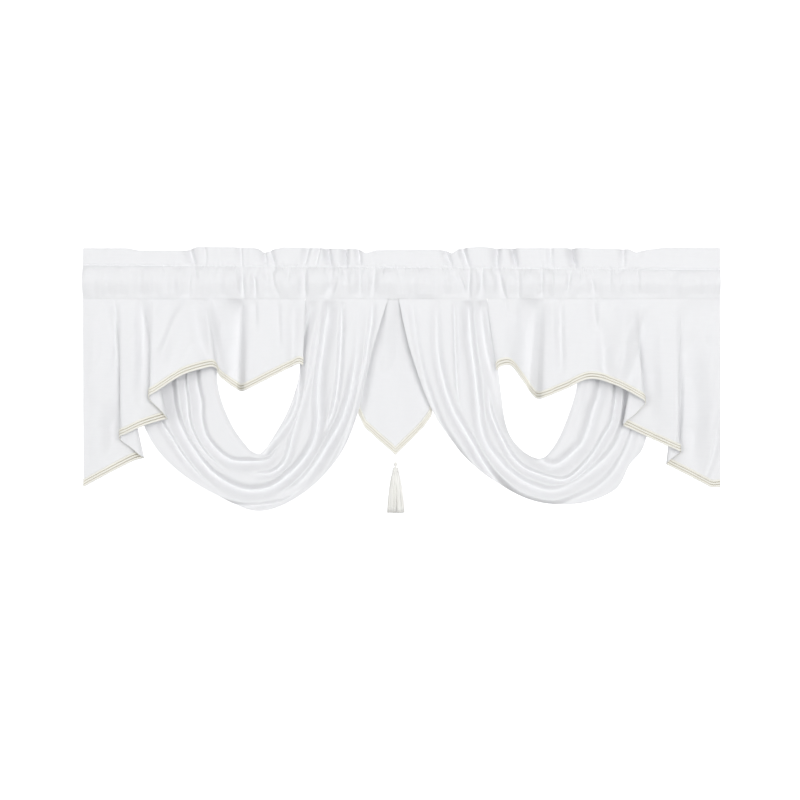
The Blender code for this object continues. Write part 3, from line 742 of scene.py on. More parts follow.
def heading_spots():
    """The strip's points, with its creases and puckers and the groove of the upper seam."""
    wanted = strip_rows()
    x, y, drop = rounded_strip(wanted)
    seam = np.interp(x, (-HALF_WIDTH, HALF_WIDTH), (SEAM_DROP_LEFT, SEAM_DROP_RIGHT))
    front = (wanted > PATH_PLACES[FOLD_CORNER])[:, None]
    header = drop < seam
    from_seam = drop - seam
    near_seam = np.clip(1 - np.abs(from_seam) / SEAM_FADE, 0, 1)
    above = np.clip(-from_seam / seam, 0, 1)
    below = np.clip(from_seam / SHOULDER_FADE, 0, 1) * np.clip((BASE_DROP - drop) / FOOT_FADE, FOOT_LEAST, 1)
    header_pull = press(HEADER_CREASES, x, drop, GATHER_ROUNDNESS)
    pocket_pull = press(POCKET_CREASES, x, drop, GATHER_ROUNDNESS)
    pleats = puckers(x, from_seam)
    fray = sum(waves.strength * wavy(waves, x, drop) for waves in (RUFFLE_WAVES, RUFFLE_DENTS))
    sewn = near_seam * (SEAM_PULL * header_pull + SEAM_PLEAT * pleats)
    ruffle = (1 - near_seam) * (header_pull + SEAM_PLEAT * pleats) + above * fray
    loose = (1 - near_seam) * (header_pull + POCKET_PLEAT * pleats) + below * (
        POCKET_PULL * pocket_pull + POCKET_FRAY * fray)
    room = np.maximum(LEAST_ROOM, POCKET_CLEAR - y)
    y = y + sewn + np.where(header, ruffle, front * room * np.tanh(loose / room))
    groove = np.interp(np.abs(x), GROOVE_PLACES, GROOVE_DEPTHS)
    y = y + front * groove * np.exp(-((from_seam / GROOVE_HALF) ** 2))
    return metres(x, y, drop)


heading = sheet_piece("heading_cloth", heading_spots(), white_cloth, "heading")
print("heading:", triangles(heading), "triangles,", round(area_of(heading), 3), "m2 of cloth")

# %% [markdown]
# A jabot hangs in flat folds whose hem steps up like stairs. Each fold line runs from its place on
# the sewing line to its own place on the hem, and the cloth opens from flat at the top to deep folds
# at the hem. The columns are set an even distance apart along the hem, so that the wide flat faces
# get as fine a mesh as the turns.

# %% The left jabot's fold lines
Fold = namedtuple("Fold", "name top_x hem_x hem_drop hem_y")
LEFT_JABOT = (
    Fold("outer_edge", -684, -682, 515, -2),
    Fold("a_body", -662, -637, 491, -7),
    Fold("a_right", -646, -581, 462, 0),
    Fold("a_turn_in", -635, -561, 455, 7),
    Fold("a_fold", -628, -552, 452, -2),
    Fold("a_turn_out", -621, -560, 446, -12),
    Fold("ab_return", -614, -580, 429, -15),
    Fold("b_fold_in", -607, -598, 416, -17),
    Fold("b_fold_out", -600, -600, 407, -23),
    Fold("b_start", -592, -588, 401, -24),
    Fold("b_body", -580, -551, 384, -21),
    Fold("b_turn_in", -566, -510, 371, -9),
    Fold("b_fold_right", -560, -500, 369, -17),
    Fold("b_turn_out", -554, -508, 356, -26),
    Fold("bc_return", -548, -522, 342, -28),
    Fold("c_fold_in", -541, -534, 330, -30),
    Fold("c_fold_out", -534, -536, 320, -35),
    Fold("c_start", -526, -524, 312, -37),
    Fold("c_body", -478, -468, 276, -28),
    Fold("c_right", -425, -414, 259, -22),
    Fold("c_edge", -418, -400, 260, -14),
    Fold("d_step", -412, -396, 269, -3),
    Fold("d_start", -403, -388, 281, 3),
    Fold("d_body", -373, -365, 299, 6),
    Fold("d_valley", -346, -347, 309, 5),
    Fold("e_rise", -340, -339, 309, -4),
    Fold("e_start", -333, -328, 305, -13),
    Fold("e_body", -281, -279, 280, -15),
    Fold("e_right", -234, -236, 258, -13),
    Fold("e_turn", -216, -220, 251, -10),
    Fold("inner_edge", -206.8, -212, 255, -6),
)
print("fold lines on the left:", len(LEFT_JABOT))

# %% The right jabot's fold lines
RIGHT_JABOT = (
    Fold("inner_edge", 183.8, 205, 266, -6),
    Fold("f_turn", 191, 213, 257, -11),
    Fold("f_body", 217, 236, 256, -10),
    Fold("g_slope", 256, 262, 288, 0),
    Fold("g_valley", 299, 287, 321, 9),
    Fold("h_rise", 306, 296, 326, 2),
    Fold("h_start", 314, 308, 323, -9),
    Fold("h_body", 343, 352, 305, -14),
    Fold("h_crest", 403, 401, 284, -18),
    Fold("h_right", 442, 453, 295, -17),
    Fold("h_turn_in", 488, 508, 323, -18),
    Fold("h_fold", 500, 521, 335, -10),
    Fold("h_turn_out", 507, 513, 346, -2),
    Fold("hj_return", 514, 500, 360, 1),
    Fold("j_fold_in", 521, 480, 376, 4),
    Fold("j_fold_out", 528, 478, 384, 13),
    Fold("j_start", 536, 492, 390, 17),
    Fold("j_body", 556, 536, 411, 11),
    Fold("j_turn_in", 584, 588, 435, -5),
    Fold("j_fold_right", 595, 598, 441, 3),
    Fold("j_turn_out", 602, 589, 449, 10),
    Fold("k_fold_in", 608, 575, 460, 14),
    Fold("k_fold_out", 615, 572, 467, 23),
    Fold("k_start", 623, 585, 474, 26),
    Fold("k_body", 639, 624, 494, 13),
    Fold("k_right", 656, 654, 510, 4),
    Fold("k_corner", 667, 667, 516, 0),
    Fold("outer_edge", 684, 684, 515, -3),
)
print("fold lines on the right:", len(RIGHT_JABOT))

# %% The jabots' creases
LEFT_CREASES = (
    Crease("b_ridge", 16, 8, ((-418, 60, -5.6), (-410, 140, -8.4), (-399, 200, -8.4),
        (-385, 262, -4.2))),
    Crease("c_ridge", 9, 18, ((-455, 80, -5.6), (-470, 130, -8.4), (-485, 160, -8.4), (-506, 215, -7),
        (-520, 250, 0))),
    Crease("c_hollow", 14, 20, ((-440, 110, 0), (-438, 170, 6.4), (-425, 220, 8), (-400, 262, 4.8))),
    Crease("edge_crease", 4, 6, ((-614, 112, 3.5), (-612, 150, 4.5), (-614, 210, 4.0), (-618, 262, 0))),
    Crease("seam_hollow", 12, 12, ((-552, 80, 9.6), (-555, 160, 11.2), (-556, 240, 9.6),
        (-558, 330, 4.8))),
    Crease("step_shadow", 34, 13, ((-347, 80, 12.0), (-351, 170, 22.0), (-353, 250, 25.0),
        (-355, 305, 18.0))),
    Crease("short_dark", 11, 3.5, ((-314, 90, 8.4), (-313, 130, 7.5), (-311, 185, 0))),
    Crease("grey_hollow", 14, 5, ((-266, 96, 5.6), (-264, 150, 6.3), (-262, 190, 4.9), (-261, 225, 0))),
    Crease("edge_shadow", 13, 11, ((-228, 85, 6.0), (-230, 160, 10.0), (-234, 248, 10.0))),
    Crease("low_shadow", 20, 22, ((-632, 330, 0), (-624, 380, 11.2), (-622, 425, 11.2),
        (-640, 470, 0))),
    Crease("outer_soft", 12, 14, ((-655, 130, 0), (-660, 220, -3.0), (-664, 330, 0))),
    Crease("grey_band", 10, 10, ((-385, 150, 3.2), (-372, 215, 8), (-362, 275, 8))),
)
RIGHT_CREASES = (
    Crease("deep_fold", 42, 16, ((291, 80, 12.0), (285, 150, 20.0), (277, 230, 24.0),
        (270, 312, 22.0))),
    Crease("short_grey", 5, 6, ((219, 90, 6.0), (225, 130, 5.0), (231, 165, 3.0), (232, 190, 0))),
    Crease("curl_grey", 8, 8, ((238, 200, 0), (232, 214, 4.0), (220, 234, 4.5), (202, 246, 3.0))),
    Crease("front_ridge", 8, 8, ((247, 80, -3.0), (248, 160, -3.0), (250, 220, 0))),
    Crease("h_ridge", 10, 8, ((322, 80, -2.8), (325, 160, -3.2), (328, 230, -2.0), (330, 280, 0))),
    Crease("h_grey", 12, 5, ((342, 80, 4.9), (343, 150, 6.3), (344, 220, 5.6), (346, 275, 0))),
    Crease("seam_dark", 15, 6, ((414, 70, 11.2), (414, 120, 11.2), (416, 160, 7), (424, 190, 3.5),
        (430, 230, 0))),
    Crease("grey_panel", 12, 14, ((424, 150, 0), (430, 190, 7), (434, 250, 8.4), (442, 290, 5.6))),
    Crease("light_panel", 18, 14, ((476, 110, -2.8), (478, 180, -7), (468, 250, -5.6), (462, 285, 0))),
    Crease("side_shadow", 18, 12, ((526, 130, 0), (517, 180, 7.0), (504, 240, 8.0), (490, 300, 6.0))),
    Crease("light_fall", 14, 16, ((552, 120, 0), (556, 200, -5.6), (560, 300, -5.6), (556, 370, 0))),
    Crease("k_hollow", 26, 22, ((624, 180, 0), (632, 250, 6.0), (636, 330, 8.0), (632, 420, 8.0),
        (640, 490, 3.0))),
    Crease("corner_crease", 5, 7, ((680, 380, 0), (677, 415, 5.0), (668, 455, 6.0), (656, 490, 4.0))),
    Crease("k_edge", 5, 8, ((606, 230, 0), (604, 300, 4.0), (600, 380, 5.0), (590, 440, 3.0))),
)
print("creases:", len(LEFT_CREASES), "left and", len(RIGHT_CREASES), "right")

# %% How a sheet hangs
TAB = 0.012
FOLD_OPENING = 0.7
FREE_START = 1.0
FREE_LENGTH = 16.0


def drop_on_sheet(hem_drop, v):
    """The drop at row v: 0 is the sewing line, 1 the braid's upper side, 2 the hem."""
    top, braid_top = BASE_DROP + SEWN_GAP, hem_drop - BRAID_WIDTH
    return np.where(v <= 1, top + (braid_top - top) * v, braid_top + BRAID_WIDTH * (v - 1))


def settle(x, y, drop, creases):
    """Adds creases and unevenness to a hanging sheet, from nothing at the sewing line."""
    free = 1 - np.exp(-np.maximum(drop - BASE_DROP - FREE_START, 0) / FREE_LENGTH)
    return metres(x, y + free * (press(creases, x, drop) + handled(x, drop)), drop)


def jabot_place(folds, creases):
    """The rule of one jabot: u runs along the hem, v from the sewing line down to the hem."""
    columns = [[getattr(fold, column) for fold in folds] for column in Fold._fields[1:]]

    def place(u, v):
        top_x, hem_x, hem_drop, hem_y = (through(values, u * (len(folds) - 1)) for values in columns)
        drop = drop_on_sheet(hem_drop, v)
        share = (drop - BASE_DROP - SEWN_GAP) / (hem_drop - BASE_DROP - SEWN_GAP)
        opened = np.maximum(0, share - TAB) ** FOLD_OPENING
        y = -SEWN_OFFSET + hanging_gather(top_x, drop) + (hem_y + SEWN_OFFSET) * opened
        return settle(top_x + (hem_x - top_x) * share, y, drop, creases)

    return place


left_rule = jabot_place(LEFT_JABOT, LEFT_CREASES)
right_rule = jabot_place(RIGHT_JABOT, RIGHT_CREASES)
print("sheets hang from", BASE_DROP + SEWN_GAP, "mm below the top edge")

# %% The rows and columns of a sheet
MEASURING_STEPS = 4001
BRAID_ROWS = 5


def even_places(place, v, count):
    """Places along a sheet that are the same distance apart in the cloth at row v."""
    fine = np.linspace(0, 1, MEASURING_STEPS)
    spots = place(fine, np.full_like(fine, v))
    reach = np.concatenate(([0], np.cumsum(np.linalg.norm(np.diff(spots, axis=0), axis=1))))
    return np.interp(np.linspace(0, reach[-1], count + 1), reach, fine)


def sheet_rows(upper):
    """Rows from the sewing line down, with a few even ones across the hem."""
    return np.concatenate((np.linspace(0, 1, upper + 1), 1 + np.linspace(0, 1, BRAID_ROWS + 1)[1:]))


def laid(place, columns, rows):
    """The grid of points of a rule: one row of points for each v."""
    u, v = np.meshgrid(columns, rows)
    return place(u, v)


print("rows across a hem:", BRAID_ROWS)

# %% The jabots
JABOT_COLUMNS = 280
JABOT_ROWS = 92
MID_BRAID = 1.5

jabots = {}
for side, rule in {"left": left_rule, "right": right_rule}.items():
    spots = laid(rule, even_places(rule, MID_BRAID, JABOT_COLUMNS), sheet_rows(JABOT_ROWS))
    jabots[side] = sheet_piece(f"jabot_{side}_cloth", spots, white_cloth, f"jabot_{side}")
    print(f"jabot {side}:", triangles(jabots[side]), "triangles,", round(area_of(jabots[side]), 3), "m2")

# %% [markdown]
# A swag is a long scarf that falls behind its jabot, turns in a deep curve and rises to be gathered in
# front of the panel. Its folds run along it, so the mesh runs along it too: stations give its inner
# and outer edge, and valleys, sharper on their upper side, lie between the folds. Thin pulls beside
# the main valleys are what makes it read as soft cloth.

# %% The swags' stations
Station = namedtuple("Station", "name inner_x inner_drop inner_y outer_x outer_drop outer_y")
LEFT_SWAG = (
    Station("hidden_top", -388, 111, 14, -530, 111, 12),
    Station("hidden_arm", -397, 211, 16, -557, 221, 15),
    Station("arm", -394, 303, 14, -566, 328, 12),
    Station("elbow", -367, 378, 13, -542, 410, 11),
    Station("lower", -333, 427, 10, -483, 478, 4),
    Station("bottom_left", -314, 442, 6, -397, 532, -4),
    Station("bottom", -299, 440, 2, -303, 566, -9),
    Station("bottom_right", -277, 410, 2, -211, 528, -10),
    Station("rise", -245, 352, 4, -138, 455, -10),
    Station("gathered_arm", -222, 281, 6, -95, 361, -10),
    Station("upper_arm", -219, 196, 9, -62, 221, -8),
    Station("gathered_top", -206, 111, 7, -29, 111, -5),
)
RIGHT_SWAG = (
    Station("gathered_top", 183, 111, 7, -6, 111, -5),
    Station("upper_arm", 201, 196, 9, 16, 211, -8),
    Station("gathered_arm", 213, 303, 6, 56, 328, -9),
    Station("fall", 228, 391, 5, 97, 401, -10),
    Station("bottom_left", 258, 435, 3, 164, 476, -10),
    Station("bottom", 296, 454, 3, 271, 540, -10),
    Station("bottom_right", 320, 438, 6, 371, 551, -8),
    Station("lower", 343, 401, 14, 457, 523, 8),
    Station("elbow", 362, 352, 12, 493, 468, 24),
    Station("arm", 376, 303, 12, 528, 418, 35),
    Station("hidden_arm", 391, 211, 14, 542, 286, 32),
    Station("hidden_top", 399, 111, 14, 549, 111, 16),
)
print("stations:", len(LEFT_SWAG), "left and", len(RIGHT_SWAG), "right")

# %% The left swag's valleys
LEFT_SWAG_CREASES = (
    Crease("inner_roll", 15.5, 6.5, ((-428, 112, 6), (-440, 200, 9), (-442, 286, 10), (-433, 328, 10),
        (-431, 371, 10), (-421, 406, 10), (-399, 435, 11), (-373, 455, 12), (-348, 461, 12),
        (-314, 461, 12), (-288, 457, 9), (-269, 440, 4), (-251, 414, 0))),
    Crease("short_pull", 10, 6, ((-457, 112, 5), (-465, 200, 8), (-468, 286, 8), (-463, 328, 8),
        (-459, 371, 8), (-446, 406, 8), (-425, 440, 7), (-399, 465, 5), (-369, 487, 0))),
    Crease("main_valley", 15.5, 9, ((-483, 112, 6.9), (-495, 211, 9.2), (-498, 275, 10.3),
        (-495, 307, 11.5), (-489, 350, 11.5), (-472, 397, 11.5), (-446, 440, 12.6), (-416, 478, 13.8),
        (-382, 504, 13.8), (-348, 519, 13.8), (-314, 523, 13.8), (-279, 515, 13.8), (-245, 491, 14.9),
        (-215, 461, 14.9), (-189, 418, 14.9), (-179, 371, 13.8), (-181, 328, 12.6), (-177, 264, 11.5),
        (-168, 200, 11.5), (-159, 136, 11.5), (-153, 97, 8))),
    Crease("outer_pull", 10, 6, ((-506, 112, 4), (-523, 211, 6), (-534, 296, 7), (-528, 350, 7),
        (-515, 380, 7), (-493, 414, 7), (-468, 453, 7), (-442, 483, 6), (-416, 508, 4),
        (-378, 532, 0))),
    Crease("jabot_side", 10, 7, ((-324, 453, 0), (-296, 446, 7), (-284, 431, 8), (-262, 401, 8),
        (-236, 363, 8), (-224, 328, 8), (-219, 286, 8), (-219, 247, 9), (-215, 211, 9), (-202, 157, 8),
        (-189, 110, 6))),
    Crease("hook", 10, 6, ((-328, 491, 0), (-305, 487, 5), (-279, 485, 8), (-258, 470, 9),
        (-245, 448, 8), (-236, 414, 7), (-226, 380, 5), (-207, 318, 4), (-194, 264, 4), (-183, 200, 4),
        (-174, 136, 0))),
    Crease("thin_rise", 6.5, 6, ((-239, 513, 0), (-215, 478, 3), (-185, 435, 4), (-164, 393, 5),
        (-147, 354, 6), (-138, 307, 6), (-132, 243, 6), (-129, 179, 6), (-127, 123, 4))),
    Crease("outer_valley", 14.5, 9, ((-281, 538, 0), (-239, 521, 5.8), (-207, 495, 10.3),
        (-181, 461, 12.6), (-155, 418, 13.8), (-129, 371, 13.8), (-112, 320, 12.6), (-104, 277, 10.3),
        (-95, 221, 5), (-93, 168, 2.5), (-97, 127, 1.5))),
    Crease("panel_side", 6.5, 7.5, ((-174, 504, 0), (-136, 446, 4), (-110, 382, 5), (-93, 318, 5),
        (-82, 269, 6), (-76, 243, 6), (-70, 200, 5.5), (-63, 157, 5), (-61, 106, 5))),
    Crease("outer_line", 6.5, 6, ((-442, 525, 0), (-399, 542, 4), (-356, 553, 5), (-311, 555, 5),
        (-260, 547, 5), (-217, 521, 4), (-179, 487, 0))),
)
print("valleys on the left:", len(LEFT_SWAG_CREASES))

# %% The right swag's valleys
RIGHT_SWAG_CREASES = (
    Crease("inner_roll", 14.5, 10.5, ((174, 108, 8.8), (172, 151, 8.8), (183, 226, 8.8),
        (196, 277, 7.7), (204, 318, 5.5), (217, 361, 4.4), (236, 403, 4.4), (262, 435, 6.6),
        (292, 455, 8.8), (322, 470, 12.1), (346, 463, 13.2), (371, 442, 13.2), (393, 418, 12.1),
        (406, 380, 11), (414, 350, 11), (425, 320, 9.9), (433, 264, 7.7), (438, 200, 6.6),
        (433, 112, 5.5))),
    Crease("main_valley", 13, 9, ((144, 108, 12.1), (147, 164, 12.1), (149, 200, 12.1), (157, 260, 11),
        (164, 328, 11), (170, 384, 9.9), (183, 423, 8.8), (200, 448, 8.8), (226, 478, 8.8),
        (260, 504, 8.8), (296, 519, 8.8), (328, 523, 7.7), (365, 510, 7.7), (403, 487, 8.8),
        (438, 457, 8.8), (463, 427, 8.8), (476, 397, 8.8), (485, 361, 6.6), (489, 286, 5.5),
        (480, 200, 5.5), (468, 112, 4.4))),
    Crease("second_valley", 10, 6, ((185, 243, 0), (187, 307, 3), (192, 354, 7), (209, 397, 8),
        (226, 431, 8), (243, 457, 8), (269, 478, 8), (311, 493, 8), (350, 500, 8), (384, 478, 9),
        (414, 444, 9), (435, 410, 9), (453, 380, 9), (461, 346, 8), (465, 296, 6), (463, 211, 5),
        (453, 112, 4))),
    Crease("outer_valley", 12, 9, ((76, 108, 4.4), (76, 168, 5.5), (78, 226, 6.6), (89, 286, 8.8),
        (102, 328, 9.9), (117, 363, 9.9), (134, 393, 9.9), (149, 418, 11), (166, 448, 12.1),
        (192, 487, 12.1), (226, 521, 11), (260, 542, 8.8), (303, 553, 7.7), (339, 553, 6.6),
        (376, 540, 6.6), (416, 521, 6.6), (455, 487, 7.7), (480, 448, 7.7), (495, 414, 7.7),
        (504, 371, 5.5), (510, 286, 4.4), (498, 112, 3.3))),
    Crease("thin_fall", 4, 5, ((112, 108, 3), (114, 179, 4), (117, 264, 4), (121, 318, 2),
        (129, 361, 0))),
    Crease("edge_pull", 9, 7, ((22, 114, 4), (29, 179, 3), (40, 243, 4), (57, 307, 5), (82, 371, 5),
        (114, 425, 5), (147, 472, 4), (183, 510, 0))),
)
print("valleys on the right:", len(RIGHT_SWAG_CREASES))

# %% The swags
SWAG_LAY = 18.0
TAB_DROP = 3.0
RIDGE = 4.0
INNER_CURL = 5.0
OUTER_CURL = 2.0
FOLD_DEPTH = 1.75
CURL_REACH = 0.035
Ripple = namedtuple("Ripple", "strength along across seed")
RIPPLES = (Ripple(1.3, 16, 5, 31), Ripple(0.5, 22, 16, 32))
MID_SWAG = 0.6
SWAG_COLUMNS = 290
SWAG_ROWS = 116


def swag_place(swag, creases, sewn):
    """The rule of one swag: u runs along it from left to right, v across it, inner to outer."""
    last = len(swag) - 1
    columns = [[getattr(station, column) for station in swag] for column in Station._fields[1:]]

    def place(u, v):
        edges = [through(values, u * last) for values in columns]
        x, drop, y = (near + (far - near) * v for near, far in zip(edges[:3], edges[3:]))
        drop = np.maximum(drop, BASE_DROP) + SEWN_GAP
        hung = np.maximum(0, drop - BASE_DROP - SEWN_GAP - TAB_DROP)
        inner, outer = (np.exp(-((part / CURL_REACH) ** 2)) for part in (v, 1 - v))
        curl = INNER_CURL * inner + OUTER_CURL * outer
        uneven = sum(r.strength * soft_noise(u * r.along, v * r.across, r.seed) for r in RIPPLES)
        folds = FOLD_DEPTH * press(creases, x, drop) - RIDGE + curl + uneven
        start = np.where(u < 0.5, sewn[0], sewn[1])
        y = start + (y + folds - start) * (1 - np.exp(-hung / SWAG_LAY)) + hanging_gather(x, drop)
        return metres(x, y, drop)

    return place


left_swag = swag_place(LEFT_SWAG, LEFT_SWAG_CREASES, (SEWN_OFFSET, -SEWN_OFFSET))
right_swag = swag_place(RIGHT_SWAG, RIGHT_SWAG_CREASES, (-SEWN_OFFSET, SEWN_OFFSET))
swags = {}
for side, rule in {"left": left_swag, "right": right_swag}.items():
    spots = laid(rule, even_places(rule, MID_SWAG, SWAG_COLUMNS), np.linspace(0, 1, SWAG_ROWS + 1))
    swags[side] = sheet_piece(f"swag_{side}_cloth", spots, white_cloth, f"swag_{side}")
    print(f"swag {side}:", triangles(swags[side]), "triangles,", round(area_of(swags[side]), 3), "m2")

# %% [markdown]
# The middle panel is a flat five-sided piece between the two swags, with its point at the bottom. It
# hangs straight, with only a few long soft folds that fan out from the gathers above.

# %% The centre panel
PANEL_HEM = (
    EdgePoint(-95, 337), EdgePoint(-91, 361), EdgePoint(-78, 388), EdgePoint(-46, 417),
    EdgePoint(-13, 446), EdgePoint(18, 416), EdgePoint(46, 388), EdgePoint(62, 365),
    EdgePoint(66, 337), EdgePoint(70, 337),
)
PANEL_CREASES = (
    Crease("left_hollow", 12, 16, ((-50, 90, 3.0), (-70, 200, 5.0), (-86, 320, 4.0), (-80, 380, 0))),
    Crease("top_left", 10, 12, ((-24, 80, -2.5), (-32, 180, -3.0), (-40, 280, 0))),
    Crease("middle", 16, 18, ((4, 110, 1.5), (0, 220, 3.0), (-6, 340, 2.0), (-10, 400, 0))),
    Crease("right_edge", 14, 12, ((6, 100, 1.0), (26, 180, 2.0), (46, 260, 2.5), (66, 335, 2.0))),
)
PANEL_LAY = 60.0
PANEL_LAYBACK = 9.0
PANEL_COLUMNS = 96
PANEL_ROWS = 80
HEM_ROW = 2.0


def panel_rule(u, v):
    """The rule of the panel: u runs along its lower outline, v from the sewing line down to it."""
    spot = u * (len(PANEL_HEM) - 1)
    x, hem = (np.interp(spot, range(len(PANEL_HEM)), [p[axis] for p in PANEL_HEM]) for axis in (0, 1))
    drop = drop_on_sheet(hem, v)
    hung = np.maximum(0, drop - BASE_DROP - SEWN_GAP - TAB_DROP)
    y = SEWN_OFFSET + PANEL_LAYBACK * (1 - np.exp(-hung / PANEL_LAY)) + hanging_gather(x, drop)
    return settle(x, y, drop, PANEL_CREASES)


panel_columns = even_places(panel_rule, HEM_ROW, PANEL_COLUMNS)
panel = sheet_piece("centre_panel_cloth", laid(panel_rule, panel_columns, sheet_rows(PANEL_ROWS)),
                    white_cloth, "centre_panel")
print("panel:", triangles(panel), "triangles,", round(area_of(panel), 3), "m2")

# %% [markdown]
# The braid is gimp: three soft ivory cords laid side by side, held by two thinner beige threads that
# zigzag in the grooves between them. Here each cord is a tube with a flattened, twisting section,
# swept along the hem at its own row, on the face of the cloth. The threads are swept the same way.

# %% Tubes
def loft(rings, along=None):
    """A closed tube through rings of points: its points, faces and UV corners."""
    count, sides = rings.shape[:2]
    index = np.arange(count * sides).reshape(count, sides)
    turned = np.roll(index, -1, axis=1)
    quads = np.stack((index[:-1], index[1:], turned[1:], turned[:-1]), axis=-1).reshape(-1, 4)
    if along is None:
        middle = rings.mean(axis=1)
        along = np.concatenate(([0], np.cumsum(np.linalg.norm(np.diff(middle, axis=0), axis=1))))
    around = np.arange(sides) / sides
    low, high = along[:-1, None] + 0 * around, along[1:, None] + 0 * around
    near, far = 0 * low + around, 0 * low + around + 1 / sides
    uv = np.stack((low, near, high, near, high, far, low, far), axis=-1).reshape(-1, 2)
    caps = [list(index[0]), list(index[-1][::-1])]
    cap_uv = np.zeros((2 * sides, 2))
    return rings.reshape(-1, 3), quads.tolist() + caps, np.concatenate((uv, cap_uv))


def joined(name, lofts, finishes, *nodes):
    """One piece from several lofts; each loft comes with the number of its finish."""
    points, faces, uvs, picks = [], [], [], []
    start = 0
    for (spots, loft_faces, uv), pick in lofts:
        points.append(spots)
        faces += [[corner + start for corner in face] for face in loft_faces]
        uvs.append(uv)
        picks += [pick] * len(loft_faces)
        start += len(spots)
    mesh = bpy.data.meshes.new(name)
    mesh.from_pydata(np.concatenate(points), [], faces)
    layer = mesh.uv_layers.new(name="UVMap")
    layer.data.foreach_set("uv", np.concatenate(uvs).ravel())
    for finish in finishes:
        mesh.materials.append(finish)
    mesh.polygons.foreach_set("material_index", picks)
    mesh.shade_smooth()
    piece = bpy.data.objects.new(name, mesh)
    bpy.context.scene.collection.objects.link(piece)
    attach(piece, "root")
    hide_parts(*nodes)
    return piece


print("ready: loft makes a tube, and joined makes one piece of many")

# %% Cords along a hem
ROW_STEP = 0.04
HEM_MEASURES = 200


def unit(vectors):
    """The same directions with length one."""
    return vectors / np.linalg.norm(vectors, axis=-1, keepdims=True)


def swept(rule, places, v, half_width, half_height, pitch, ply, lift, sides):
    """A cord on the face of a sheet, at row v, with a section that twists along it."""
    spots = rule(places, v)
    tangent = unit(np.gradient(spots, axis=0))
    across = rule(places, v + ROW_STEP) - rule(places, v - ROW_STEP)
    normal = unit(np.cross(unit(across), tangent))
    across = np.cross(tangent, normal)
    along = np.concatenate(([0], np.cumsum(np.linalg.norm(np.diff(spots, axis=0), axis=1))))
    angle = np.arange(sides) * 2 * np.pi / sides
    swell = 1 + ply * np.cos(2 * (angle[None] - 2 * np.pi * along[:, None] / (pitch * MM)))
    out = across[:, None] * (np.cos(angle)[None] * swell * half_width * MM)[..., None]
    up = normal[:, None] * ((np.sin(angle)[None] * swell * half_height + lift) * MM)[..., None]
    return loft(spots[:, None] + out + up, along)


def hem_length(rule):
    """How long a braid is, in millimetres, measured along its middle."""
    hem = even_places(rule, MID_BRAID, HEM_MEASURES)
    spots = rule(hem, np.full_like(hem, MID_BRAID))
    return np.linalg.norm(np.diff(spots, axis=0), axis=1).sum() / MM


for rule in (left_rule, right_rule, panel_rule):
    print("a hem's length:", round(float(hem_length(rule))), "mm")

# %% The braids
CORD_SIDES = 8
CORD_STEP = 0.95
CORD_HALF_WIDTH = 2.75
CORD_HALF_HEIGHT = 1.15
CORD_PLACES = (0.17, 0.5, 0.83)
CORD_PITCH = 5.2
CORD_CLEAR = 0.25
PLY_DEPTH = 0.13
ZIGZAG_PLACES = (0.335, 0.665)
ZIGZAG_SWING = 0.075
ZIGZAG_PITCH = 4.6
ZIGZAG_RADIUS = 0.5
ZIGZAG_SIDES = 4
ZIGZAG_LIFT = 0.75
BRAID_LIFT = THICK / 2 + CORD_CLEAR + CORD_HALF_HEIGHT


def braid(name, rule, node):
    """Three cords and two zigzag threads along one hem."""
    length = hem_length(rule)
    places = even_places(rule, MID_BRAID, int(length / CORD_STEP))
    lofts = []
    for row in CORD_PLACES:
        v = np.full_like(places, 1 + row)
        cord = swept(rule, places, v, CORD_HALF_WIDTH, CORD_HALF_HEIGHT, pitch=CORD_PITCH, ply=PLY_DEPTH,
                     lift=BRAID_LIFT, sides=CORD_SIDES)
        lofts.append((cord, 0))
    for row in ZIGZAG_PLACES:
        swing = np.arcsin(np.sin(2 * np.pi * np.linspace(0, length, len(places)) / ZIGZAG_PITCH))
        v = 1 + row + ZIGZAG_SWING * swing / (np.pi / 2)
        thread = swept(rule, places, v, ZIGZAG_RADIUS, ZIGZAG_RADIUS, pitch=ZIGZAG_PITCH, ply=0.0,
                       lift=BRAID_LIFT + ZIGZAG_LIFT, sides=ZIGZAG_SIDES)
        lofts.append((thread, 1))
    piece = joined(name, lofts, (ivory_cord, beige_thread), node)
    print(f"{name}: {length:.0f} mm of braid, {triangles(piece)} triangles")
    return piece


braids = {
    "left": braid("braid_left_cords", left_rule, "braid_left"),
    "right": braid("braid_right_cords", right_rule, "braid_right"),
    "centre": braid("braid_centre_cords", panel_rule, "braid_centre"),
}

# %% [markdown]
# The tassel is thread from top to bottom: a twisted loop sewn behind the panel's point, a small knot,
# a bound head, and a skirt of a few hundred loose threads cut off level. Each strand is made on its
# own, with its own slight lean and sway, and its root is hidden in the head.

# %% The tassel's head and where it hangs
TASSEL_X = -12.6
PANEL_TIP = 4
TIP_CLEAR = 0.7
LOOP_RADIUS = 1.3
TURN_SIDES = 28
Ring = namedtuple("Ring", "drop radius")
HEAD_PROFILE = (
    Ring(461, 0.4), Ring(462, 1.6), Ring(464.2, 3.0), Ring(466.5, 3.5), Ring(468.8, 2.9),
    Ring(470.6, 1.7), Ring(471.8, 2.2), Ring(473.5, 3.8), Ring(476, 5.3), Ring(479, 6.3),
    Ring(482, 6.7), Ring(484.5, 6.3), Ring(487, 5.4), Ring(488.5, 2.0),
)

tip = panel_rule(np.array([PANEL_TIP / (len(PANEL_HEM) - 1)]), np.array([HEM_ROW]))[0]
TASSEL_Y = tip[1] / MM + THICK / 2 + LOOP_RADIUS + TIP_CLEAR


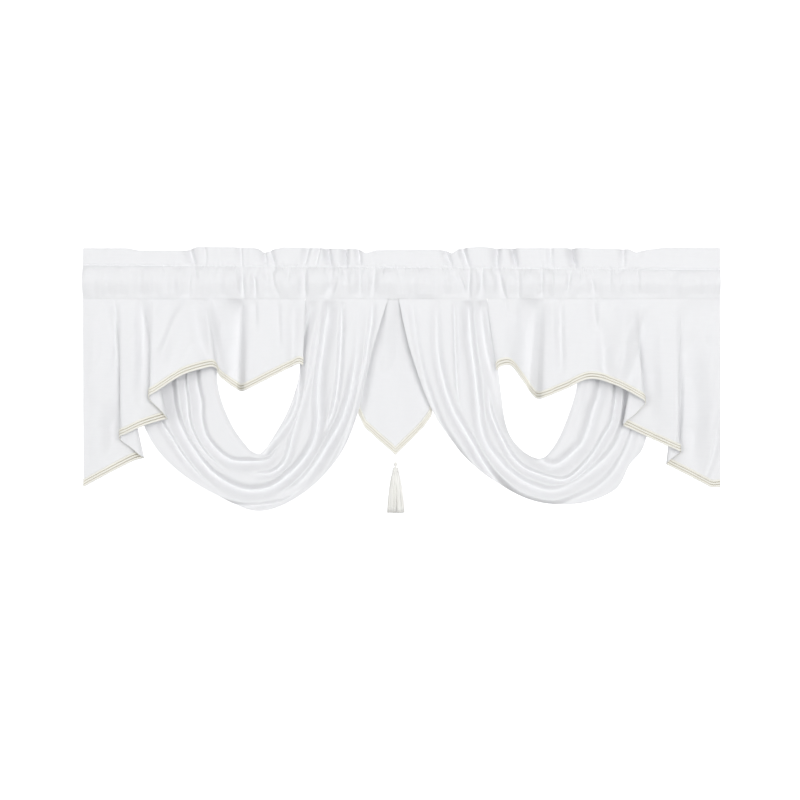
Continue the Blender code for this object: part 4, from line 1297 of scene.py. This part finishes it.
def turned(profile, sides):
    """A turned shape about the tassel's upright line."""
    angle = -np.arange(sides) * 2 * np.pi / sides
    rings = []
    for ring in profile:
        rings.append(metres(TASSEL_X + ring.radius * np.cos(angle), TASSEL_Y + ring.radius * np.sin(angle),
                            np.full(sides, float(ring.drop))))
    return loft(np.array(rings))


parts = [(turned(HEAD_PROFILE, TURN_SIDES), 0)]
print("the tassel hangs at y", round(float(TASSEL_Y), 2), "mm")

# %% The loop of two plies
LOOP_TOP = 437.0
LOOP_BOTTOM = 463.0
LOOP_TURN = 4.5
PLY_STEPS = 60
PLY_OFFSET = 0.62
PLY_RADIUS = 0.75
PLY_SIDES = 8


def upright_tube(x, y, drop, radius, sides):
    """A thin tube along a line that runs mostly downward."""
    angle = -np.arange(sides) * 2 * np.pi / sides
    ring_x = x[:, None] + radius[:, None] * np.cos(angle)
    ring_y = y[:, None] + radius[:, None] * np.sin(angle)
    return loft(metres(ring_x, ring_y, np.broadcast_to(drop[:, None], ring_x.shape)))


def plies():
    """The loop's two plies, wound round each other."""
    drop = np.linspace(LOOP_TOP, LOOP_BOTTOM, PLY_STEPS)
    made = []
    for start in (0.0, np.pi):
        turn = start + (drop - LOOP_TOP) * 2 * np.pi / LOOP_TURN
        x, y = TASSEL_X + PLY_OFFSET * np.cos(turn), TASSEL_Y + PLY_OFFSET * np.sin(turn)
        made.append((upright_tube(x, y, drop, np.full_like(drop, PLY_RADIUS), PLY_SIDES), 0))
    return made


parts = plies() + parts
print("the loop is", LOOP_BOTTOM - LOOP_TOP, "mm long")

# %% The thread bound round the head
BOUND = ((462.6, 470.2), (473.5, 486.5))
BOUND_STEP = 0.95
BOUND_POINTS = 18
BOUND_RADIUS = 0.52
BOUND_SIDES = 5
BOUND_LIFT = 0.25


def binding(low, high):
    """Thread wound round the head, close turn by close turn."""
    turns = (high - low) / BOUND_STEP
    turn = np.linspace(0, turns * 2 * np.pi, int(turns * BOUND_POINTS))
    drop = np.linspace(low, high, len(turn))
    reach = BOUND_LIFT + np.interp(drop, [r.drop for r in HEAD_PROFILE], [r.radius for r in HEAD_PROFILE])
    middle = metres(TASSEL_X + reach * np.cos(turn), TASSEL_Y + reach * np.sin(turn), drop)
    tangent = unit(np.gradient(middle, axis=0))
    out = unit(np.stack((np.cos(turn), np.sin(turn), 0 * turn), axis=-1))
    up = np.cross(tangent, out)
    angle = np.arange(BOUND_SIDES) * 2 * np.pi / BOUND_SIDES
    ring = (out[:, None] * np.cos(angle)[None, :, None] + up[:, None] * np.sin(angle)[None, :, None])
    return loft(middle[:, None] + ring * BOUND_RADIUS * MM)


bindings = [(binding(*reach), 0) for reach in BOUND]
print("bound in", len(bindings), "places")

# %% The skirt
HEAD_BOTTOM = 486.0
ROOT_COVER = 3.0
ROOT_RADIUS = 6.4
SKIRT_BOTTOM = 570.0
SKIRT_SPREAD = 17.6
SKIRT_SEED = 4
STRANDS = 300
STRAND_RINGS = 9
STRAND_SIDES = 5
STRAND_RADIUS = 0.95
STRAND_SWELL = 0.15
RING_SHARE = 0.3
FOOT_SHARE = 0.85
FLARE = 0.72
BELLY = 1.1
TURN_SCATTER = 0.08
FOOT_SCATTER = 0.7
CUT_SCATTER = 0.7
SWAY_SCATTER = 0.5
SWAY_WAVES = (1.2, 2.4)
SWAY_BACK = 0.5
GOLDEN_TURN = math.pi * (3 - math.sqrt(5))


def skirt():
    """The loose threads, spread evenly over the head and cut level."""
    rng = np.random.default_rng(SKIRT_SEED)
    share = np.linspace(0, 1, STRAND_RINGS)
    made = []
    for number in range(STRANDS):
        ring = ((number + 0.5) / STRANDS) ** RING_SHARE
        angle = number * GOLDEN_TURN + rng.normal(0, TURN_SCATTER)
        root, foot = ROOT_RADIUS * ring, SKIRT_SPREAD * ring ** FOOT_SHARE + rng.normal(0, FOOT_SCATTER)
        length = SKIRT_BOTTOM - HEAD_BOTTOM + rng.normal(0, CUT_SCATTER)
        reach = root + (foot - root) * share ** FLARE + BELLY * np.sin(share * np.pi)
        sway = rng.normal(0, SWAY_SCATTER) * np.sin(share * np.pi * rng.uniform(*SWAY_WAVES))
        x = TASSEL_X + reach * math.cos(angle) + sway
        y = TASSEL_Y + reach * math.sin(angle) + sway * SWAY_BACK
        drop = HEAD_BOTTOM - ROOT_COVER + (length + ROOT_COVER) * share
        radius = STRAND_RADIUS * (1 + STRAND_SWELL * share)
        made.append((upright_tube(x, y, drop, radius, STRAND_SIDES), 0))
    return made


parts += skirt() + bindings
tassel = joined("tassel_threads", parts, (ivory_thread,), "tassel")
print("tassel:", triangles(tassel), "triangles")

# %% [markdown]
# All the pieces are listed together and their triangles counted. The heading's strip and the swags
# are gathered, so their cut is wider than what they cover.

# %% All the pieces
made = [heading, *jabots.values(), *swags.values(), panel, *braids.values(), tassel]
print("triangles in all:", sum(triangles(piece) for piece in made))
